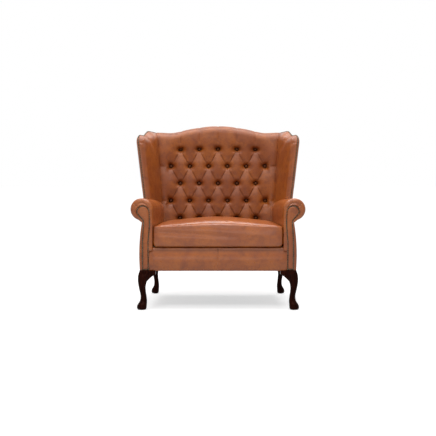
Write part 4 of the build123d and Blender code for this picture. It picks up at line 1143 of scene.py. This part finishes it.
def outer_back():
    """Outer back: a taut panel, slightly full in its middle, with a quarter circle for a folded edge."""
    xx, vv = np.meshgrid(np.linspace(-1, 1, 121), np.linspace(0, 1, 130))
    low = (BASE_Z + 0.5 - BACK[1] + 146 * SIN) / COS
    blend = smooth(np.abs(xx), 0.72, 0.97)
    top = (crest_s(np.minimum(np.abs(xx) * 424, 356)) - 16.0) * (1 - blend) + 608.0 * blend
    s = low + (top - low) * vv
    half = np.interp(s, [-300, -140, -15, 163, 511, 620], [412, 415, 400, 393, 418, 424])
    edge = np.minimum((1 - np.abs(xx)) * 420, np.minimum(vv, 1 - vv) * 780)
    folded = np.sqrt(1 - (1 - np.clip(edge / 5.0, 0, 1)) ** 2)
    n = REAR_N - 0.5 - 5.0 * folded - 4.0 * (1 - np.exp(-edge / 90.0))
    rear = world_back(n, s, xx * half)
    rear += (waves(rear, 260.0, 61) * 0.8 * smooth(edge, 2, 60))[..., None] * np.array((0, COS, -SIN))
    points, faces = two_sided(rear, world_back(np.full_like(n, REAR_N - 0.2), s, xx * half))
    add_piece("outside_back_panel", points, faces, LEATHER, ("outer_back",), fill=0.3)


# Nails
def nail_mesh(places, outward_ways):
    """Domed nail heads with thin rims at places, each turned to its outward way."""
    radii = np.array([1.0, 1.0, 0.93, 0.78, 0.58, 0.34, 0.12]) * NAIL_R
    heights = np.array([-0.6, 0.25, 0.95, 1.75, 2.35, 2.7, 2.82])
    rows, sides, count = len(radii), 16, len(places)
    ways = outward_ways / np.linalg.norm(outward_ways, axis=1, keepdims=True)
    helper = np.where(np.abs(ways[:, 2:]) > 0.9, (1.0, 0.0, 0.0), (0.0, 0.0, 1.0))
    across = np.cross(helper, ways)
    across /= np.linalg.norm(across, axis=1, keepdims=True)
    up = np.cross(ways, across)
    turn = np.linspace(0, 2 * np.pi, sides, endpoint=False)[:, None]
    rim = np.cos(turn) * across[:, None, None, :] + np.sin(turn) * up[:, None, None, :]
    domes = radii[:, None, None] * rim + heights[:, None, None] * ways[:, None, None, :]
    heads = places[:, None, None, :] + domes
    tips = places + ways * (heights[-1] + 0.05)
    points = np.concatenate([heads.reshape(count, rows * sides, 3), tips[:, None, :]], axis=1).reshape(-1, 3)
    first = np.arange(count)[:, None, None] * (rows * sides + 1)
    quads = grid_faces(rows, sides, closed=True) + first
    caps = fan_faces((rows - 1) * sides, sides, rows * sides) + first
    return points, [quads.reshape(-1, 4), caps.reshape(-1, 3)]


def nail_spots(path, closed=False):
    """Places along a path at the nails' pitch."""
    line = np.vstack([path, path[:1]]) if closed else path
    length = np.linalg.norm(np.diff(line, axis=0), axis=1).sum()
    return resample(path, round(length / NAIL_PITCH), closed=closed)


def facing_nails():
    """A row round each facing, closed under the arm."""
    x, z = nail_spots(facing_outline(NAIL_INSET), closed=True).T
    places = np.stack([x, np.full(len(x), FRONT_Y - 3.6), np.maximum(z, BASE_Z + NAIL_INSET)], axis=1)
    points, faces = nail_mesh(places, np.tile((0.0, -1.0, 0.0), (len(places), 1)))
    add_pair("facing_nail_row", points, faces, BRASS, "facing_nails", slot="antique_brass")


def wing_nails():
    """A row along each wing's front and top edge, to just before the outer back."""
    path = wing_top()
    keep = resample(np.vstack([[0, -42.0], path[path[:, 1] > -60]]), 400)
    spots = nail_spots(keep[keep[:, 0] < wing_rear(keep[:, 1], REAR_N + 20)])
    along = np.gradient(spots, axis=0)
    out = np.stack([-along[:, 1], along[:, 0]], axis=1)
    out /= np.linalg.norm(out, axis=1, keepdims=True)
    b, h = (spots + out * 0.8).T
    ways = out[:, :1] * WING_BACKWARD + out[:, 1:] * WING_UP
    points, faces = nail_mesh(world_wing(b, h, np.full(len(b), -WING_SKIN)), ways)
    add_pair("wing_nail_row", points, faces, BRASS, "wing_nails", slot="antique_brass")


def outer_back_nails():
    """A row up each side of the outer back."""
    line = np.array([(405, -234), (407, -140), (392, -15), (385, 163), (410, 511), (415, 590)], dtype=float)
    x, s = nail_spots(line).T
    places = world_back(np.full(len(x), REAR_N - 5.8), s, x)
    points, faces = nail_mesh(places, np.tile((0.0, COS, -SIN), (len(x), 1)))
    points, faces = joined([(points, faces), mirrored(points, faces)])
    add_piece("outer_back_nail_rows", points, faces, BRASS, ("outer_back_nails",), slot="antique_brass")


# Legs
LEG_LEVELS = np.array([
    # height, half size, roundness, sway along the diagonal
    (3.0, 23.0, 2.1, 23.8), (5.0, 26.0, 2.1, 24.0), (9.0, 27.8, 2.1, 24.4), (16.0, 28.6, 2.1, 24.6),
    (24.0, 28.2, 2.1, 23.6), (32.0, 26.8, 2.2, 21.8), (40.0, 24.0, 2.2, 18.4), (50.0, 20.8, 2.3, 14.8),
    (62.0, 18.8, 2.3, 13.8), (78.0, 17.2, 2.3, 14.4), (95.0, 17.2, 2.3, 16.6), (112.0, 18.2, 2.4, 19.4),
    (130.0, 19.7, 2.6, 21.6), (148.0, 22.6, 2.8, 21.8), (165.0, 26.0, 3.0, 20.5), (182.0, 28.5, 3.4, 18.5),
    (198.0, 30.5, 4.2, 15.5), (214.0, 31.0, 5.0, 11.0), (230.0, 30.0, 5.0, 6.0),
])


def ear_mesh(turned):
    """Ear beside a front knee: upright superellipses whose lower edge is a hollow curve."""
    run = np.linspace(0, 1, 34)[:, None]
    turn = np.linspace(0, 2 * np.pi, 40, endpoint=False)
    c, s = np.cos(turn), np.sin(turn)
    shape = (np.abs(c) ** 4 + np.abs(s) ** 4) ** -0.25
    low = 206.0 - 32.5 * run - 25.5 * run**2
    z = (BASE_Z + low) / 2 + (BASE_Z - low) / 2 * s * shape
    across = -11.0 - 4.0 * run + (11.0 + 9.0 * smooth(run, 0.0, 0.8)) * c * shape
    along = np.broadcast_to(-56.0 + 64.0 * run, z.shape)
    x, y = (-across, -along) if turned else (along, across)
    return closed_rings(np.stack([FRONT_LEG[0] + x, FRONT_LEG[1] + y, z], axis=-1))


def leg_mesh(place, way, slim):
    """Cabriole leg: superellipse sections swaying outwards along the diagonal, way in depth."""
    zs = np.concatenate([np.linspace(230, 20, 90), np.linspace(19, 3, 18)])
    values = [np.interp(zs, LEG_LEVELS[:, 0], LEG_LEVELS[:, k]) for k in (1, 2, 3)]
    blur = (0.1, 0.25, 0.3, 0.25, 0.1)
    for _ in range(3):
        values = [np.convolve(np.pad(v, 2, mode="edge"), blur, mode="valid") for v in values]
    half, power, sway = (v[:, None] for v in values)
    turn = np.linspace(0, 2 * np.pi, 64, endpoint=False)
    c, s = np.cos(turn), np.sin(turn)
    radius = half * slim / (np.abs(c) ** power + np.abs(s) ** power) ** (1 / power)
    x, y = place[0] + sway + radius * c, place[1] + way * sway + radius * s
    return closed_rings(np.stack(np.broadcast_arrays(x, y, zs[:, None]), axis=-1))


def legs():
    """Cabriole legs with an ear on both sides of each front knee."""
    for name, place, way, slim in (("front_leg", FRONT_LEG, -1, 1.0), ("rear_leg", REAR_LEG, 1, 0.86)):
        points, faces = leg_mesh(place, way, slim)
        add_pair(f"cabriole_{name}", points, faces, MAHOGANY, name, slot="mahogany")
    right = [ear_mesh(turned) for turned in (False, True)]
    points, faces = joined([part for ear in right for part in (ear, mirrored(*ear))])
    add_piece("knee_ears", points, faces, MAHOGANY, ("knee_brackets",), slot="mahogany")


# Floor, light and camera
def area_light(name, place, target, size, power):
    """A rectangular white lamp, aimed at a target."""
    data = bpy.data.lights.new(name, "AREA")
    data.shape = "RECTANGLE"
    data.size, data.size_y = size
    data.energy = power
    lamp = bpy.data.objects.new(name, data)
    lamp.location = place
    way = Vector(target) - Vector(place)
    lamp.rotation_euler = way.to_track_quat("-Z", "Y").to_euler()
    bpy.context.scene.collection.objects.link(lamp)


def studio():
    """Pale floor, white surroundings and a large soft ceiling of light that reaches behind the seat."""
    floor = bpy.data.meshes.new("floor")
    floor.from_pydata([(-40, -40, 0), (40, -40, 0), (40, 40, 0), (-40, 40, 0)], [], [(0, 1, 2, 3)])
    floor.materials.append(floor_finish())
    ground = bpy.data.objects.new("floor", floor)
    bpy.context.scene.collection.objects.link(ground)
    world = bpy.data.worlds.new("studio")
    bpy.context.scene.world = world
    world.use_nodes = True
    tree = world.node_tree
    background = tree.nodes["Background"]
    background.inputs["Color"].default_value = (1.0, 1.0, 1.0, 1.0)
    tree.links.new(seen_directly(tree).between_values(0.30, 1.0).socket, background.inputs["Strength"])
    area_light("ceiling", (0.0, 0.25, 2.9), (0, 0.25, 0.0), (2.8, 3.1), 116)
    area_light("high_front", (-0.3, -2.5, 3.2), (0, 0, 0.6), (3.8, 0.8), 52)
    area_light("low_front", (-0.3, -3.4, 1.0), (0, 0, 0.6), (2.0, 1.0), 10)


def seen_directly(tree):
    """1 for what the camera sees, straight or in a mirror or glass; 0 for what lights the object."""
    seen = add_node(tree, "ShaderNodeLightPath", {}, {}, "Is Camera Ray")
    rays = seen.socket.node.outputs
    for name in ("Is Glossy Ray", "Is Transmission Ray"):
        seen = seen.math("MAXIMUM", Value(tree, rays[name]))
    return seen


def floor_finish():
    """White floor that keeps the shadow, and brightens to the white surroundings further out."""
    floor = Finish("pale_floor", Roughness=0.8, Specular_IOR_Level=0.1)
    floor.shader.inputs["Base Color"].default_value = (0.62, 0.62, 0.62, 1.0)
    floor.shader.inputs["Emission Color"].default_value = (1.0, 1.0, 1.0, 1.0)
    away = add_node(floor.tree, "ShaderNodeVectorMath", {"operation": "LENGTH"}, {0: floor.place}, "Value")
    glow = away.between(1.0, 6.0).between_values(0.56, 0.85)
    floor.send(seen_directly(floor.tree) * glow, "Emission Strength")
    return floor.material


def camera():
    """Level with the back's middle, tilted slightly down, as in the photograph."""
    data = bpy.data.cameras.new("camera")
    data.sensor_width = 36.0
    data.lens = 778.5 / 436 * data.sensor_width
    eye = bpy.data.objects.new("camera", data)
    eye.location = (0.0, -4.90 + SHIFT_Y * 0.001, 0.788)
    eye.rotation_euler = (math.radians(90 - 3.22), 0.0, 0.0)
    bpy.context.scene.collection.objects.link(eye)
    bpy.context.scene.camera = eye


tufted_back()
buttons()
wings()
arms()
facings()
outer_arms()
front_border()
cushion()
outer_back()
facing_nails()
wing_nails()
outer_back_nails()
legs()
studio()
camera()
bpy.context.scene.view_settings.view_transform = "Standard"
